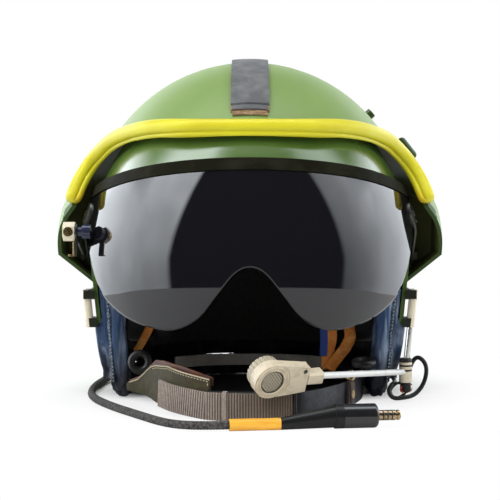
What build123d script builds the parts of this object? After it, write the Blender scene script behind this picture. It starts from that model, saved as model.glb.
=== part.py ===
from build123d import *
import math
import os

os.makedirs("parts", exist_ok=True)

# A pilot's flight helmet standing on a table and facing -Y, the wearer's left at +X.
# All lengths are in millimetres. The table is at z = 0.
# Names ending in _left are on the -X side, the viewer's left in a front view.

# Clearances and the overrun that every cut shares
overrun = 20.0
fit_gap = 0.3
pin_gap = 0.06

# The visor turns on this line, which runs along X
axis_y = 5.0
axis_z = 110.5

# Beside that line the visor's outer face is three tangent arcs, the same all the way round
crown_rise = 27.0
crown_radius = 121.5
temple_radius = 210.0
cheek_radius = 35.0
crown_turn = 51.45
temple_turn = 68.1

# Skins, measured outward from the visor's outer face
lens_wall = 2.6
lens_gap = 1.6
shell_wall = 3.2
hood_gap = 2.4
hood_wall = 2.8
liner_wall = 13.0
liner_gap = 0.3

# The lower half of the shell narrows down to a straight edge
foot_inset = 11.0
shell_edge_z = 17.0

# Face opening of the shell, in side view
brow_front_z = 172.0
brow_side_z = 156.0
brow_reach = 160.0
cheek_edge_y = -33.0
brow_round = 16.0
cheek_round = 40.0

# Hood: its wings leave the dome in a straight flare and close in a bulge, which stands off the
# visor's flat sides
wing_stand_off = 17.0
flare_round = 30.0
wing_foot_z = 88.0
wing_foot_x = 118.0
wing_foot_angle = 41.0
hood_back_angle = 28.0
hood_wing_back_y = 50.0
hood_wing_back_z = 80.0
wing_back_y = 48.0
wing_back_angle = 45.0

# Front edge of the hood, from the middle to the end of each wing: distance from the middle as a
# share of the half width, which ends short of the wing's side, and the angle about the visor's
# axis in degrees up from straight ahead
edge_inset = 12.8
edge_width_shares = (0.0, 0.28, 0.54, 0.75, 0.857, 0.916, 0.967, 1.0)
edge_turns = (38.3, 40.0, 48.0, 63.0, 72.0, 71.0, 61.0, 44.0)
wing_edge_y = -24.0
wing_edge_z = 118.0
wing_tip_y = -6.0
wing_tip_z = 84.0
trim_radius = 6.3
trim_stand_off = 1.8

# Crown strip and its backing
strip_width = 28.0
strip_wall = 1.4
backing_wall = 1.6
backing_lead = 3.0
strip_front_y = -101.0

# Fastenings of the hood
spacer_radius = 5.0
spacer_angles = (-34.0, -12.0, 12.0, 34.0)
spacer_back_angle = 24.0
hood_screw_radius = 4.2
hood_screw_height = 1.4
slot_width = 1.0
slot_depth = 0.7

# Visor outline in front view, right half, from the nose to the temple
lobe_foot_z = 62.5
nose_top_z = 108.5
lens_half_width = 128.0
lens_cheek_z = 150.0
lens_outline_width_shares = (0.0, 0.085, 0.185, 0.30, 0.45, 0.66, 0.82, 0.895, 0.945, 0.985)
lens_outline_height_shares = (1.0, 0.90, 0.56, 0.17, 0.0, 0.10, 0.36, 0.66, 1.05, 1.55)
rim_front_y = -127.0
rim_front_z = 186.0
rim_slope = 11.2
rim_height = 9.5
rim_wall = 0.9
lens_back_y = -22.0

# Visor arms and pivots
arm_wall = 1.5
arm_pivot_radius = 10.0
arm_end_radius = 8.0
arm_end_y = -34.0
arm_end_z = 145.0
pivot_radius = 4.0
pivot_collar_radius = 7.0
pivot_nut_radius = 5.5
pivot_nut_height = 3.5
arm_screw_radius = 2.4
arm_screw_height = 0.9
arm_screw_spread = 8.0

# Friction lock in the right-hand wing of the wearer
bracket_wall = 1.6
bracket_width = 12.0
bracket_gap = 0.5
lock_y = -61.0
lock_z = 131.5
block_across = 12.5
block_length = 9.0
lock_screw_radius = 3.6
lock_screw_height = 1.6
knob_radius = 5.2
knob_length = 9.5
knob_neck_radius = 3.4
knob_neck_length = 3.2
knob_ribs = 12
knob_rib_depth = 0.5

clip_height = 11.0
clip_width = 6.0
clip_wall = 1.4
clip_step = 5.0

# Wing lugs, side bars and the boom's post
lug_radius = 5.0
lug_height = 9.0
lug_reach = 3.5
lug_y = -14.0
lug_z = 86.0
post_y = -36.0
bar_radius = 3.3
bar_stand_off = 2.0
clamp_half_width = 5.0
clamp_height = 7.0
clamp_reach = 14.0
bar_top_z = 86.0
bar_foot_z = 57.0
tube_radius = 2.4
tube_top_z = 71.0
post_travel = 10.0
barrel_radius = 5.0
barrel_top_z = 33.0
barrel_foot_z = 14.0
barrel_dome = 1.8
ring_depth = 0.5
ring_height = 1.2
ring_pitch = 3.6
swing_z = 24.0
spindle_radius = 2.2
base_radius = 4.2
base_height = 7.0
arm_radius = 2.3
arm_root_z = 22.0

# Microphone
mic_x = 15.2
mic_y = -160.0
mic_z = 31.0
mic_face_angle = 28.0
mic_tilt_angle = 25.0
mic_disc_radius = 13.0
mic_wall = 8.0
mic_capsule_radius = 12.2
mic_capsule_depth = 7.0
mic_ribs = 24
mic_rib_depth = 0.5
mic_grille_radius = 8.2
mic_grille_wall = 0.8
mic_ring_wall = 1.2
mic_seam_depth = 0.5
mic_seam_width = 0.8
mic_neck_height = 19.5
mic_neck_length = 28.0
mic_block_height = 9.5
mic_block_length = 12.0
mic_spigot_radius = 2.5
mic_spigot_length = 6.0
mic_screw_radius = 1.6

# Linings
crown_pad_wall = 12.0
crown_pad_radius = 48.0
brow_pad_wall = 10.0
brow_pad_height = 26.0
brow_pad_half_width = 62.0
rear_pad_height = 60.0
liner_foot_z = 104.0
liner_back_y = 50.0
liner_back_z = 30.0
liner_inset = 6.0
rear_pad_half_width = 60.0
pad_gap = 0.4

# Leather side rolls
roll_radius = 10.5
roll_top_inset = 21.7
roll_top_z = 92.0
roll_foot_inset = 27.7
roll_front_y = -28.0
roll_middle_y = 36.0
roll_back_y = 78.0
roll_back_inset = 45.5
roll_corner_y = 111.0
roll_corner_inset = 72.0
roll_end_y = 122.0
roll_end_x = 11.5
roll_share = 0.2
roll_flat = 0.5

# Ear cups
ear_y = 22.0
ear_z = 74.0
ear_half_height = 34.0
ear_half_length = 27.0
ear_cup_depth = 20.0
ear_cup_wall = 3.0
ear_outer_x = 100.0
ear_seal_wall = 17.0
ear_seal_width = 11.0
earphone_radius = 17.0
earphone_height = 9.0
hanger_half_width = 12.0
hanger_height = 18.0

# Straps
webbing_wall = 1.6
webbing_height = 20.0
tab_wall = 2.2
loop_wall = 3.0
nape_height = 10.0
nape_foot_z = 9.5
strap_foot_z = 0.4
chin_route = [
    (-88.9, 4.0), (-88.0, -26.0), (-78.0, -56.0), (-61.0, -86.0), (-42.0, -116.0), (-17.0, -136.0),
    (12.0, -141.0), (40.0, -127.0), (63.0, -94.0), (79.0, -60.0), (87.8, -28.0), (88.9, 4.0),
]
tab_route = [(-94.0, -45.0), (-77.0, -63.0), (-63.4, -87.6), (-44.0, -118.0), (-25.5, -133.0)]
tab_corners = [(-97.0, 3.0), (-97.0, 31.0), (-68.0, 33.0), (-27.4, 29.0), (-27.4, 20.8), (-66.0, 6.0)]
nape_route = [(-66.0, 84.0), (-38.0, 104.0), (0.0, 109.5), (38.0, 104.0), (66.0, 84.0)]
keeper_x = -17.5
keeper_y = -135.0
keeper_turn = -32.0
keeper_width = 5.0
keeper_wall = 5.0
ring_radius = 6.6
ring_wire_radius = 3.0
ring_left_place = (-85.0, -40.0, 30.1)
ring_right_place = (87.8, -42.6, 30.0)
snap_strap_place = (74.9, -75.2)
snap_strap_turn = 66.5
snap_strap_width = 8.0
snap_radius = 3.0
snap_height = 1.2
brass_ring_radius = 3.2
brass_wire_radius = 1.0
loop_y = -6.8
loop_width = 5.5
loop_left_x = 79.5
loop_left_z = 57.5
loop_left_length = 37.0
loop_left_lean = 24.0
loop_right_width = 8.0
loop_route = [(66.0, 78.0), (67.0, 54.0), (76.0, 42.0), (72.0, 30.0), (60.0, 22.0)]
tape_x = 55.5
tape_width = 6.0
tape_wall = 1.4
tape_foot_z = 30.0
tape_top_z = 80.0

# Fittings on the wearer's left of the hood
fitting_length = 20.0
fitting_width = 24.0
fitting_height = 12.0
fitting_sink = 6.0
fitting_round = 4.0
fitting_along = 32.0
fitting_y = 12.0
stud_radius = 4.0
stud_height = 4.5
stud_angle = 48.0

# Cord and plug
cord_radius = 3.1
gland_radius = 5.5
gland_foot_radius = 4.2
gland_length = 14.0
sleeve_radius = 4.1
sleeve_length = 35.0
boot_length = 43.0
plug_radius = 8.3
plug_length = 24.0
plug_round = 2.5
flange_radius = 8.35
flange_height = 6.0
boot_end_radius = 7.6
jack_radius = 3.55
jack_length = 16.0
jack_tip_length = 3.6
band_height = 1.1
band_depth = 0.8
jack_contacts = 4
jack_groove = 1.0
plug_angle = 8.1
plug_start_x = -14.0
plug_start_y = -174.5
cord_route = [
    (-93.0, 97.0, 13.0),
    (-112.0, 86.0, 6.5),
    (-123.0, 62.0, 3.1),
    (-127.5, 14.0, 3.1),
    (-124.0, -36.0, 3.1),
    (-105.0, -82.0, 3.1),
    (-76.0, -131.0, 3.1),
    (-62.0, -154.0, 3.1),
    (-50.0, -168.0, 3.4),
]
cord_straight = 20.0
lead_radius = 1.7
lead_route = [
    (122.0, -31.65, 11.0), (124.0, -25.0, 11.6), (125.5, -24.5, 26.0), (131.0, -27.5, 34.0),
    (138.0, -32.0, 27.0), (136.0, -35.0, 14.0), (128.0, -40.0, 4.6), (118.5, -44.5, 3.0),
    (109.5, -45.5, 2.6), (106.2, -44.0, 8.5), (110.0, -41.0, 13.5), (114.1, -30.0, 13.8),
    (114.1, 8.0, 13.8),
]
lead_clip_width = 5.0

section_plane = Plane(origin=(0, axis_y, axis_z), x_dir=(1, 0, 0), z_dir=(0, -1, 0))
turn_line = Axis((0, axis_y, axis_z), (1, 0, 0))
shell_grow = -(lens_wall + lens_gap)
inner_grow = shell_grow - shell_wall
half_length = crown_rise + crown_radius + hood_gap + hood_wall
reach = 2 * half_length


def fan_point(centre, radius, turn):
    """Point at an angle from straight up, clockwise, on a circle."""
    angle = math.radians(turn)
    return (centre[0] + radius * math.sin(angle), centre[1] + radius * math.cos(angle))


def mirrored(point):
    return (-point[0], point[1])


crown_centre = (0, crown_rise)
temple_centre = fan_point(crown_centre, crown_radius - temple_radius, crown_turn)
cheek_centre = fan_point(temple_centre, temple_radius - cheek_radius, temple_turn)
flat_x = cheek_centre[0] + cheek_radius


def dome_edges(grow):
    """The curve from one side of the helmet over the crown to the other, grown outward."""
    crown_end = fan_point(crown_centre, crown_radius + grow, crown_turn)
    temple_middle = fan_point(temple_centre, temple_radius + grow, (crown_turn + temple_turn) / 2)
    temple_end = fan_point(temple_centre, temple_radius + grow, temple_turn)
    cheek_middle = fan_point(cheek_centre, cheek_radius + grow, (temple_turn + 90) / 2)
    cheek_end = fan_point(cheek_centre, cheek_radius + grow, 90)
    top = (0, crown_rise + crown_radius + grow)
    right = [(crown_end, temple_middle, temple_end), (temple_end, cheek_middle, cheek_end)]
    edges = [ThreePointArc(mirrored(crown_end), top, crown_end)]
    for start, middle, end in right:
        edges.append(ThreePointArc(start, middle, end))
        edges.append(ThreePointArc(mirrored(start), mirrored(middle), mirrored(end)))
    return edges, cheek_end


def dome(grow):
    """Solid of revolution about the visor's axis."""
    edges, end = dome_edges(grow)
    edges.append(Line(end, (end[0], 0)))
    edges.append(Line((end[0], 0), (-end[0], 0)))
    edges.append(Line((-end[0], 0), mirrored(end)))
    return revolve(section_plane * make_face(edges), turn_line)


def oval(grow, height):
    """Level section of the helmet at the height of the visor's axis, moved to another height."""
    edges, end = dome_edges(grow)
    edges += [mirror(edge, Plane.XZ) for edge in edges]
    edges.append(Line(end, (end[0], -end[1])))
    edges.append(Line(mirrored(end), (-end[0], -end[1])))
    return Pos(0, axis_y, height) * make_face(edges)


def box_between(low, high):
    size = [b - a for a, b in zip(low, high)]
    return Pos(*low) * Box(*size, align=(Align.MIN, Align.MIN, Align.MIN))


above_axis = box_between((-reach, -reach, axis_z), (reach, reach, axis_z + reach))


def helmet_form(grow):
    """Dome above the axis and narrowing walls below it."""
    lower = loft([oval(grow, axis_z), oval(grow - foot_inset, 0)], ruled=True)
    return (dome(grow) & above_axis) + lower


def side_prism(points, low_x=-reach, high_x=reach):
    """Closed outline in side view, pushed across the helmet."""
    plane = Plane(origin=(low_x, 0, 0), x_dir=(0, 1, 0), z_dir=(1, 0, 0))
    return extrude(plane * make_face(Polyline(*points, close=True)), high_x - low_x)


def front_prism(edges, low_y, high_y):
    """Closed outline in front view, pushed from low_y to high_y."""
    plane = Plane(origin=(0, high_y, 0), x_dir=(1, 0, 0), z_dir=(0, -1, 0))
    return extrude(plane * make_face(edges), high_y - low_y)


def wall_inset(z):
    """How far the lower walls have come in at a height."""
    return foot_inset * (axis_z - z) / axis_z


def shell_side_x(z):
    """Outer face of the shell's flat side at a height under the axis."""
    return cheek_centre[0] + cheek_radius + shell_grow - wall_inset(z)


def face_opening(grow=0):
    """Prism through the face, with a rounded brow corner and a rounded lower corner."""
    edge_y = cheek_edge_y + grow
    outline = [
        (-reach, brow_front_z + grow),
        (-brow_reach, brow_front_z + grow),
        (edge_y, brow_side_z + grow),
        (edge_y, shell_edge_z),
        (edge_y + cheek_round, shell_edge_z),
        (edge_y + cheek_round, -overrun),
        (-reach, -overrun),
    ]
    prism = side_prism(outline)
    corner = [e for e in prism.edges().filter_by(Axis.X) if abs(e.center().Y - edge_y) < fit_gap]
    top = max(corner, key=lambda e: e.center().Z)
    prism = fillet(top, brow_round)
    low = [e for e in prism.edges().filter_by(Axis.X)
           if abs(e.center().Y - edge_y) < fit_gap and abs(e.center().Z - shell_edge_z) < fit_gap]
    return fillet(low, cheek_round - fit_gap)


def above(z):
    return box_between((-reach, -reach, z), (reach, reach, reach))


def outer_shell():
    shell = (helmet_form(shell_grow) - helmet_form(inner_grow)) & above(shell_edge_z)
    return shell - face_opening()


# Hood

flare_start = fan_point(crown_centre, crown_radius, crown_turn)
flare_slope = math.radians(crown_turn)
bulge_drop = flare_round * (1 - math.sin(flare_slope))
flare_length = (flat_x + wing_stand_off - bulge_drop - flare_start[0]) / math.cos(flare_slope)
flare_end = (flare_start[0] + flare_length * math.cos(flare_slope),
             flare_start[1] - flare_length * math.sin(flare_slope))
wing_centre = fan_point(flare_end, -flare_round, crown_turn)
hood_grow = hood_gap + hood_wall


def hood_form(grow):
    """Dome with flared wings, closed under each wing by a sloping foot."""
    crown_end = fan_point(crown_centre, crown_radius + grow, crown_turn)
    bulge_start = fan_point(wing_centre, flare_round + grow, crown_turn)
    bulge_middle = fan_point(wing_centre, flare_round + grow, (crown_turn + 90) / 2)
    bulge_end = fan_point(wing_centre, flare_round + grow, 90)
    top = (0, crown_rise + crown_radius + grow)
    edges = [ThreePointArc(mirrored(crown_end), top, crown_end)]
    for flip in (lambda p: p, mirrored):
        edges.append(Line(flip(crown_end), flip(bulge_start)))
        edges.append(ThreePointArc(flip(bulge_start), flip(bulge_middle), flip(bulge_end)))
        edges.append(Line(flip(bulge_end), flip((bulge_end[0], 0))))
    edges.append(Line((bulge_end[0], 0), (-bulge_end[0], 0)))
    form = revolve(section_plane * make_face(edges), turn_line)
    drop = (grow - hood_gap) / math.cos(math.radians(wing_foot_angle))
    rise = math.tan(math.radians(wing_foot_angle))
    foot_z = wing_foot_z - drop
    tip = (wing_foot_x + reach, foot_z + reach * rise)
    keep = make_face(Polyline((0, foot_z), (wing_foot_x, foot_z), tip, (tip[0], 2 * reach + tip[1]),
                              (0, 2 * reach + tip[1]), close=True))
    plane = Plane(origin=(0, reach, 0), x_dir=(1, 0, 0), z_dir=(0, -1, 0))
    keep = extrude(plane * keep, 2 * reach)
    slant = math.tan(math.radians(wing_back_angle))
    back_y = wing_back_y + (grow - hood_gap) / math.cos(math.radians(wing_back_angle))
    far_x = 2 * wing_foot_x
    plan = make_face(Polyline((0, -reach), (far_x, -reach), (far_x, back_y - (far_x - wing_foot_x) * slant),
                              (wing_foot_x, back_y), (wing_foot_x, reach), (0, reach), close=True))
    keep = keep & Pos(0, 0, -reach) * extrude(plan, 2 * reach)
    return form & (keep + mirror(keep, Plane.YZ))


def hood_radius(x, grow):
    """Distance of the hood's skin from the visor's axis, at a distance from the middle."""
    start = fan_point(crown_centre, crown_radius + grow, crown_turn)
    bulge = fan_point(wing_centre, flare_round + grow, crown_turn)
    if x < start[0]:
        return crown_rise + math.sqrt((crown_radius + grow) ** 2 - x ** 2)
    if x < bulge[0]:
        return start[1] - (x - start[0]) * math.tan(flare_slope)
    return wing_centre[1] + math.sqrt((flare_round + grow) ** 2 - (x - wing_centre[0]) ** 2)


def front_edge(grow):
    """The hood's front edge on its skin, from the middle to the end of one wing."""
    half_width = wing_centre[0] + flare_round + hood_grow - edge_inset
    points = []
    for share, turn in zip(edge_width_shares, edge_turns):
        x = half_width * share
        radius = hood_radius(x, grow)
        angle = math.radians(turn)
        points.append((x, axis_y - radius * math.cos(angle), axis_z + radius * math.sin(angle)))
    return points


def hood_outline():
    """The hood in side view."""
    edge = [(y, z) for x, y, z in front_edge(hood_grow)]
    crown_back = fan_point((axis_y, axis_z), reach, hood_back_angle)
    outline = [(edge[0][0] - reach, edge[0][1])] + edge
    outline += [(wing_edge_y, wing_edge_z), (wing_tip_y, wing_tip_z)]
    outline += [(hood_wing_back_y, hood_wing_back_z), (hood_wing_back_y, axis_z + hood_wing_back_y)]
    outline += [crown_back, (edge[0][0] - reach, reach)]
    return side_prism(outline)


def visor_cover():
    hood = hood_form(hood_grow) - hood_form(hood_gap)
    hood = hood & hood_outline()
    hood -= helmet_form(shell_grow + fit_gap) & above(0)
    return max(hood.solids(), key=lambda s: s.volume)


def smooth_path(points, share=0.45):
    """Straight runs joined by tangent arcs as large as the runs allow."""
    vectors = [Vector(*p) for p in points]
    radii = []
    for before, here, after in zip(vectors, vectors[1:], vectors[2:]):
        turn = (here - before).get_angle(after - here)
        run = min((here - before).length, (after - here).length)
        radii.append(share * run / math.tan(math.radians(turn) / 2))
    return FilletPolyline(*vectors, radius=radii), radii


def tube(points, radius, share=0.45):
    path, radii = smooth_path(points, share)
    start = Plane(origin=path @ 0, z_dir=path % 0)
    return sweep(start * Circle(radius), path=path), radii, path.length


def cover_edge_trim(cover):
    half = front_edge(hood_grow + trim_stand_off)
    points = [(-x, y, z) for x, y, z in reversed(half[1:])] + half[1:]
    roll, radii, length = tube(points, trim_radius)
    trim = roll - cover - dome(rim_wall + fit_gap)
    return max(trim.solids(), key=lambda s: s.volume)


def crown_strips():
    """The grey strip and the layered backing under it, both over the crown of the hood."""
    base = dome(hood_grow + pin_gap)
    middle = dome(hood_grow + backing_wall)
    top = dome(hood_grow + backing_wall + strip_wall)
    crown_back = fan_point((axis_y, axis_z), reach, hood_back_angle)
    half = strip_width / 2

    def band(front_y):
        outline = [(front_y, axis_z), (front_y, reach), crown_back, (axis_y, axis_z)]
        return side_prism(outline, -half, half)

    backing = (middle - base) & band(strip_front_y - backing_lead)
    strip = (top - middle) & band(strip_front_y)
    return strip, backing


def radial(angle_x, angle_back, radius, inner, outer):
    """A pin square to the hood's crown arc, between two skins."""
    pin = Pos(0, 0, crown_radius / 2) * Cylinder(radius, crown_radius, align=(Align.CENTER,) * 2 + (Align.MIN,))
    pin = Pos(0, 0, crown_rise) * Rot(0, angle_x, 0) * pin
    pin = Pos(0, axis_y, axis_z) * Rot(-angle_back, 0, 0) * pin
    return (pin & outer) - inner


def fastened_hood():
    """Spacers between shell and hood near its back edge, and the screws over them."""
    outside = dome(shell_grow)
    under_hood = dome(hood_gap)
    over_hood = dome(hood_grow)
    heads = dome(hood_grow + hood_screw_height)
    spacers = [radial(a, spacer_back_angle, spacer_radius, outside, under_hood) for a in spacer_angles]
    screws = []
    for angle in spacer_angles:
        head = radial(angle, spacer_back_angle, hood_screw_radius, over_hood, heads)
        slot = Pos(0, 0, crown_radius + hood_grow + hood_screw_height - slot_depth)
        slot = slot * Box(2 * reach, slot_width, slot_depth * 3, align=(Align.CENTER,) * 2 + (Align.MIN,))
        slot = Pos(0, axis_y, axis_z) * Rot(-spacer_back_angle, 0, 0) * Pos(0, 0, crown_rise) * Rot(0, angle, 0) * slot
        screws.append(head - slot)
    return Compound(spacers), Compound(screws)


# Visor

rim_drop = math.tan(math.radians(rim_slope))


def below_rim(drop):
    """Everything under the visor's sloping top edge, lowered by a distance."""
    level = rim_front_z - drop
    outline = [
        (rim_front_y - reach, level + reach * rim_drop),
        (rim_front_y + reach, level - reach * rim_drop),
        (rim_front_y + reach, -reach),
        (rim_front_y - reach, -reach),
    ]
    return side_prism(outline)


def lens_outline():
    """Front view of the visor: nose notch, two lobes and the cheeks."""
    points = []
    for width_share, height_share in zip(lens_outline_width_shares, lens_outline_height_shares):
        x = lens_half_width * width_share
        points.append((x, lobe_foot_z + (nose_top_z - lobe_foot_z) * height_share))
    tail = (lens_half_width, lens_cheek_z)
    right = Spline(*points[1:], tail)
    nose = ThreePointArc(mirrored(points[1]), points[0], points[1])
    left = mirror(right, Plane.YZ)
    sides = [Line(tail, (tail[0], reach)), Line(mirrored(tail), (-tail[0], reach))]
    top = Line((tail[0], reach), (-tail[0], reach))
    return front_prism([nose, right, left, top] + sides, -reach, lens_back_y)


def visor_parts():
    outline = lens_outline()
    skin = dome(0) - dome(-lens_wall)
    body = skin & outline & below_rim(rim_wall)
    lens = max(body.solids(), key=lambda s: s.volume)
    channel = dome(rim_wall) - dome(-lens_wall - rim_wall)
    channel = channel & outline & below_rim(0)
    channel -= below_rim(rim_height)
    rim = max((channel - lens).solids(), key=lambda s: s.volume)
    return lens, rim


def arm_outline(grow=0):
    """Side view of a visor arm: a plate from the pivot to the lens."""
    run = math.dist((axis_y, axis_z), (arm_end_y, arm_end_z))
    angle = math.atan2(arm_end_z - axis_z, arm_end_y - axis_y)
    lean = math.asin((arm_pivot_radius - arm_end_radius) / run)
    points = []
    for centre, radius in (((axis_y, axis_z), arm_pivot_radius), ((arm_end_y, arm_end_z), arm_end_radius)):
        for side in (1, -1):
            turn = angle + side * (math.pi / 2 - lean)
            points.append((centre[0] + radius * math.cos(turn), centre[1] + radius * math.sin(turn)))
    return [points[0], points[2], points[3], points[1]]


def x_pin(y, z, radius, low_x, high_x):
    """Cylinder along X."""
    return Pos(low_x, y, z) * Rot(0, 90, 0) * Cylinder(radius, high_x - low_x,
                                                      align=(Align.CENTER, Align.CENTER, Align.MIN))


def on_both_sides(shape):
    return shape, mirror(shape, Plane.YZ)


def visor_arm():
    """Arm on the +X side, seated on the lens' outer face."""
    skin = dome(arm_wall) - dome(0)
    prism = side_prism(arm_outline(), 0, reach)
    prism += x_pin(axis_y, axis_z, arm_pivot_radius, 0, reach)
    prism += x_pin(arm_end_y, arm_end_z, arm_end_radius, 0, reach)
    arm = skin & prism
    arm -= x_pin(axis_y, axis_z, pivot_radius + pin_gap, 0, reach)
    return max(arm.solids(), key=lambda s: s.volume)


def arm_screws():
    """Two low screw heads on each arm where it holds the lens."""
    skin = dome(arm_wall + arm_screw_height) - dome(arm_wall)
    angle = math.atan2(arm_end_z - axis_z, arm_end_y - axis_y)
    heads = []
    for side in (0, 1):
        y = arm_end_y - side * arm_screw_spread * math.cos(angle)
        z = arm_end_z - side * arm_screw_spread * math.sin(angle)
        head = skin & x_pin(y, z, arm_screw_radius, 0, reach)
        heads += on_both_sides(head)
    return Compound(heads)


pivot_nut_x = flat_x + arm_wall + bracket_gap
bracket_x = pivot_nut_x
lock_block_x = bracket_x + bracket_wall


def visor_pivots():
    """Shouldered studs on the shell's flat sides."""
    shoulder = x_pin(axis_y, axis_z, pivot_collar_radius, flat_x + shell_grow, flat_x - pin_gap)
    pin = x_pin(axis_y, axis_z, pivot_radius, flat_x - pin_gap, bracket_x)
    return Compound(list(on_both_sides(shoulder + pin)))


def hexagon(across, height):
    return extrude(RegularPolygon(across / 2, 6, major_radius=False), height)


def pivot_nuts():
    """Cap nuts: over the bracket on the -X side, over the arm on the +X side."""
    nut = Rot(0, 90, 0) * hexagon(2 * pivot_nut_radius, pivot_nut_height)
    right = Pos(bracket_x, axis_y, axis_z) * nut
    left = mirror(Pos(bracket_x + bracket_wall, axis_y, axis_z) * nut, Plane.YZ)
    return Compound([right, left])


def lock_bracket():
    """Plate from the left pivot forward to the lock block, in the -X wing."""
    run = math.dist((axis_y, axis_z), (lock_y, lock_z))
    angle = math.degrees(math.atan2(lock_z - axis_z, lock_y - axis_y))
    bar = Pos(run / 2, 0, 0) * Box(run, bracket_width, bracket_wall, align=(Align.CENTER, Align.CENTER, Align.MIN))
    ends = Cylinder(bracket_width / 2, bracket_wall, align=(Align.CENTER, Align.CENTER, Align.MIN))
    bar = bar + ends + Pos(run, 0, 0) * ends
    plane = Plane(origin=(bracket_x, axis_y, axis_z), x_dir=(0, 1, 0), z_dir=(1, 0, 0))
    plate = plane * Rot(0, 0, angle) * bar
    return mirror(plate, Plane.YZ)


def lock_parts():
    """Hexagon block on the bracket, its brass screw and the knurled knob that bears on the lens."""
    block = Pos(lock_block_x, lock_y, lock_z) * Rot(0, 90, 0) * hexagon(block_across, block_length)
    stem_radius = knob_neck_radius - knob_rib_depth
    stem_end = lock_block_x + block_length / 2
    hole = x_pin(lock_y, lock_z, stem_radius + pin_gap, 0, stem_end + fit_gap)
    block -= hole
    screw_y = lock_y - block_across / 2
    head = Cylinder(lock_screw_radius, lock_screw_height, align=(Align.CENTER, Align.CENTER, Align.MIN))
    slot = Pos(0, 0, lock_screw_height) * Rot(0, 0, 35) * Box(2 * lock_screw_radius, slot_width, 2 * slot_depth)
    screw = Pos(lock_block_x + block_length / 2, screw_y, lock_z) * Rot(90, 0, 0) * (head - slot)
    knob_end = bracket_x - bracket_gap
    knob_start = knob_end - knob_length
    grip = Circle(knob_radius)
    for step in range(knob_ribs):
        notch = Rot(0, 0, 360 / knob_ribs * step) * Pos(knob_radius, 0) * Circle(knob_rib_depth)
        grip -= notch
    knob = Pos(knob_start, lock_y, lock_z) * Rot(0, 90, 0) * extrude(grip, knob_length - knob_neck_length)
    knob += x_pin(lock_y, lock_z, knob_neck_radius, knob_start, knob_end)
    knob += x_pin(lock_y, lock_z, stem_radius, knob_end, stem_end)
    return block, screw, knob, hole


def lock_clip():
    """Stepped brass clip on the tongue under the bracket."""
    low_z = lock_z - block_across / 2 - clip_wall - clip_height
    clip = box_between((lock_block_x, lock_y - clip_width / 2, low_z),
                       (lock_block_x + clip_wall, lock_y + clip_width / 2, low_z + clip_height))
    foot = box_between((lock_block_x, lock_y - clip_width / 2, low_z),
                       (lock_block_x + clip_step, lock_y + clip_width / 2, low_z + clip_wall))
    return clip + foot


def bracket_tongue():
    low_z = lock_z - block_across / 2 - clip_wall - clip_height
    return box_between((bracket_x, lock_y - clip_width / 2, low_z),
                       (bracket_x + bracket_wall, lock_y + clip_width / 2, lock_z))


def wing_lugs():
    """Lug under each wing, seated on the shell."""
    block = box_between((0, lug_y - lug_radius, lug_z - lug_height),
                        (shell_side_x(lug_z) + lug_reach, lug_y + lug_radius, lug_z))
    block -= helmet_form(shell_grow)
    block = block & box_between((shell_side_x(0) - overrun, -reach, 0), (reach, reach, reach))
    return Compound(list(on_both_sides(max(block.solids(), key=lambda s: s.volume))))


# Boom

post_slope = foot_inset / axis_z
post_lean = math.degrees(math.atan(post_slope))


def post_x(z):
    return shell_side_x(z) + bar_radius + bar_stand_off


def post_rod(radius, low_z, high_z):
    """Cylinder on the boom's post, which leans with the shell's wall."""
    length = (high_z - low_z) / math.cos(math.radians(post_lean))
    rod = Cylinder(radius, length, align=(Align.CENTER, Align.CENTER, Align.MIN))
    return Pos(post_x(low_z), post_y, low_z) * Rot(0, post_lean, 0) * rod


def rod_between(start, end, radius):
    start, end = Vector(*start), Vector(*end)
    plane = Plane(origin=start, z_dir=end - start)
    return plane * Cylinder(radius, (end - start).length, align=(Align.CENTER, Align.CENTER, Align.MIN))


def holders():
    bar = post_rod(bar_radius, bar_foot_z, bar_top_z)
    left = mirror(bar, Plane.YZ)
    right = bar - post_rod(tube_radius + pin_gap, bar_foot_z - fit_gap, tube_top_z + post_travel + fit_gap)
    clamp = box_between((0, post_y - clamp_half_width, bar_top_z - clamp_height),
                        (post_x(bar_top_z) + bar_radius / 2, post_y + clamp_reach, bar_top_z - fit_gap))
    clamp -= helmet_form(shell_grow)
    clamp = clamp & box_between((shell_side_x(0) - overrun, -reach, 0), (reach, reach, reach))
    long_bar = post_rod(bar_radius, bar_foot_z - overrun, bar_top_z + overrun)
    clamp -= long_bar
    clamp = max(clamp.solids(), key=lambda s: s.volume)
    shelf_z = bar_foot_z + clamp_height
    saddle = box_between((0, post_y - bar_radius, bar_foot_z),
                         (post_x(shelf_z), post_y + clamp_reach, shelf_z))
    saddle -= helmet_form(shell_grow)
    saddle = saddle & box_between((shell_side_x(0) - overrun, -reach, 0), (reach, reach, reach))
    saddle -= long_bar
    saddle = max(saddle.solids(), key=lambda s: s.volume)
    return left, right, Compound(list(on_both_sides(clamp)) + list(on_both_sides(saddle)))


def swing_rod(radius, low_z, high_z):
    """Upright cylinder on the line that the boom swings about, under the foot of the post."""
    rod = Cylinder(radius, high_z - low_z, align=(Align.CENTER, Align.CENTER, Align.MIN))
    return Pos(post_x(swing_z), post_y, low_z) * rod


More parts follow.
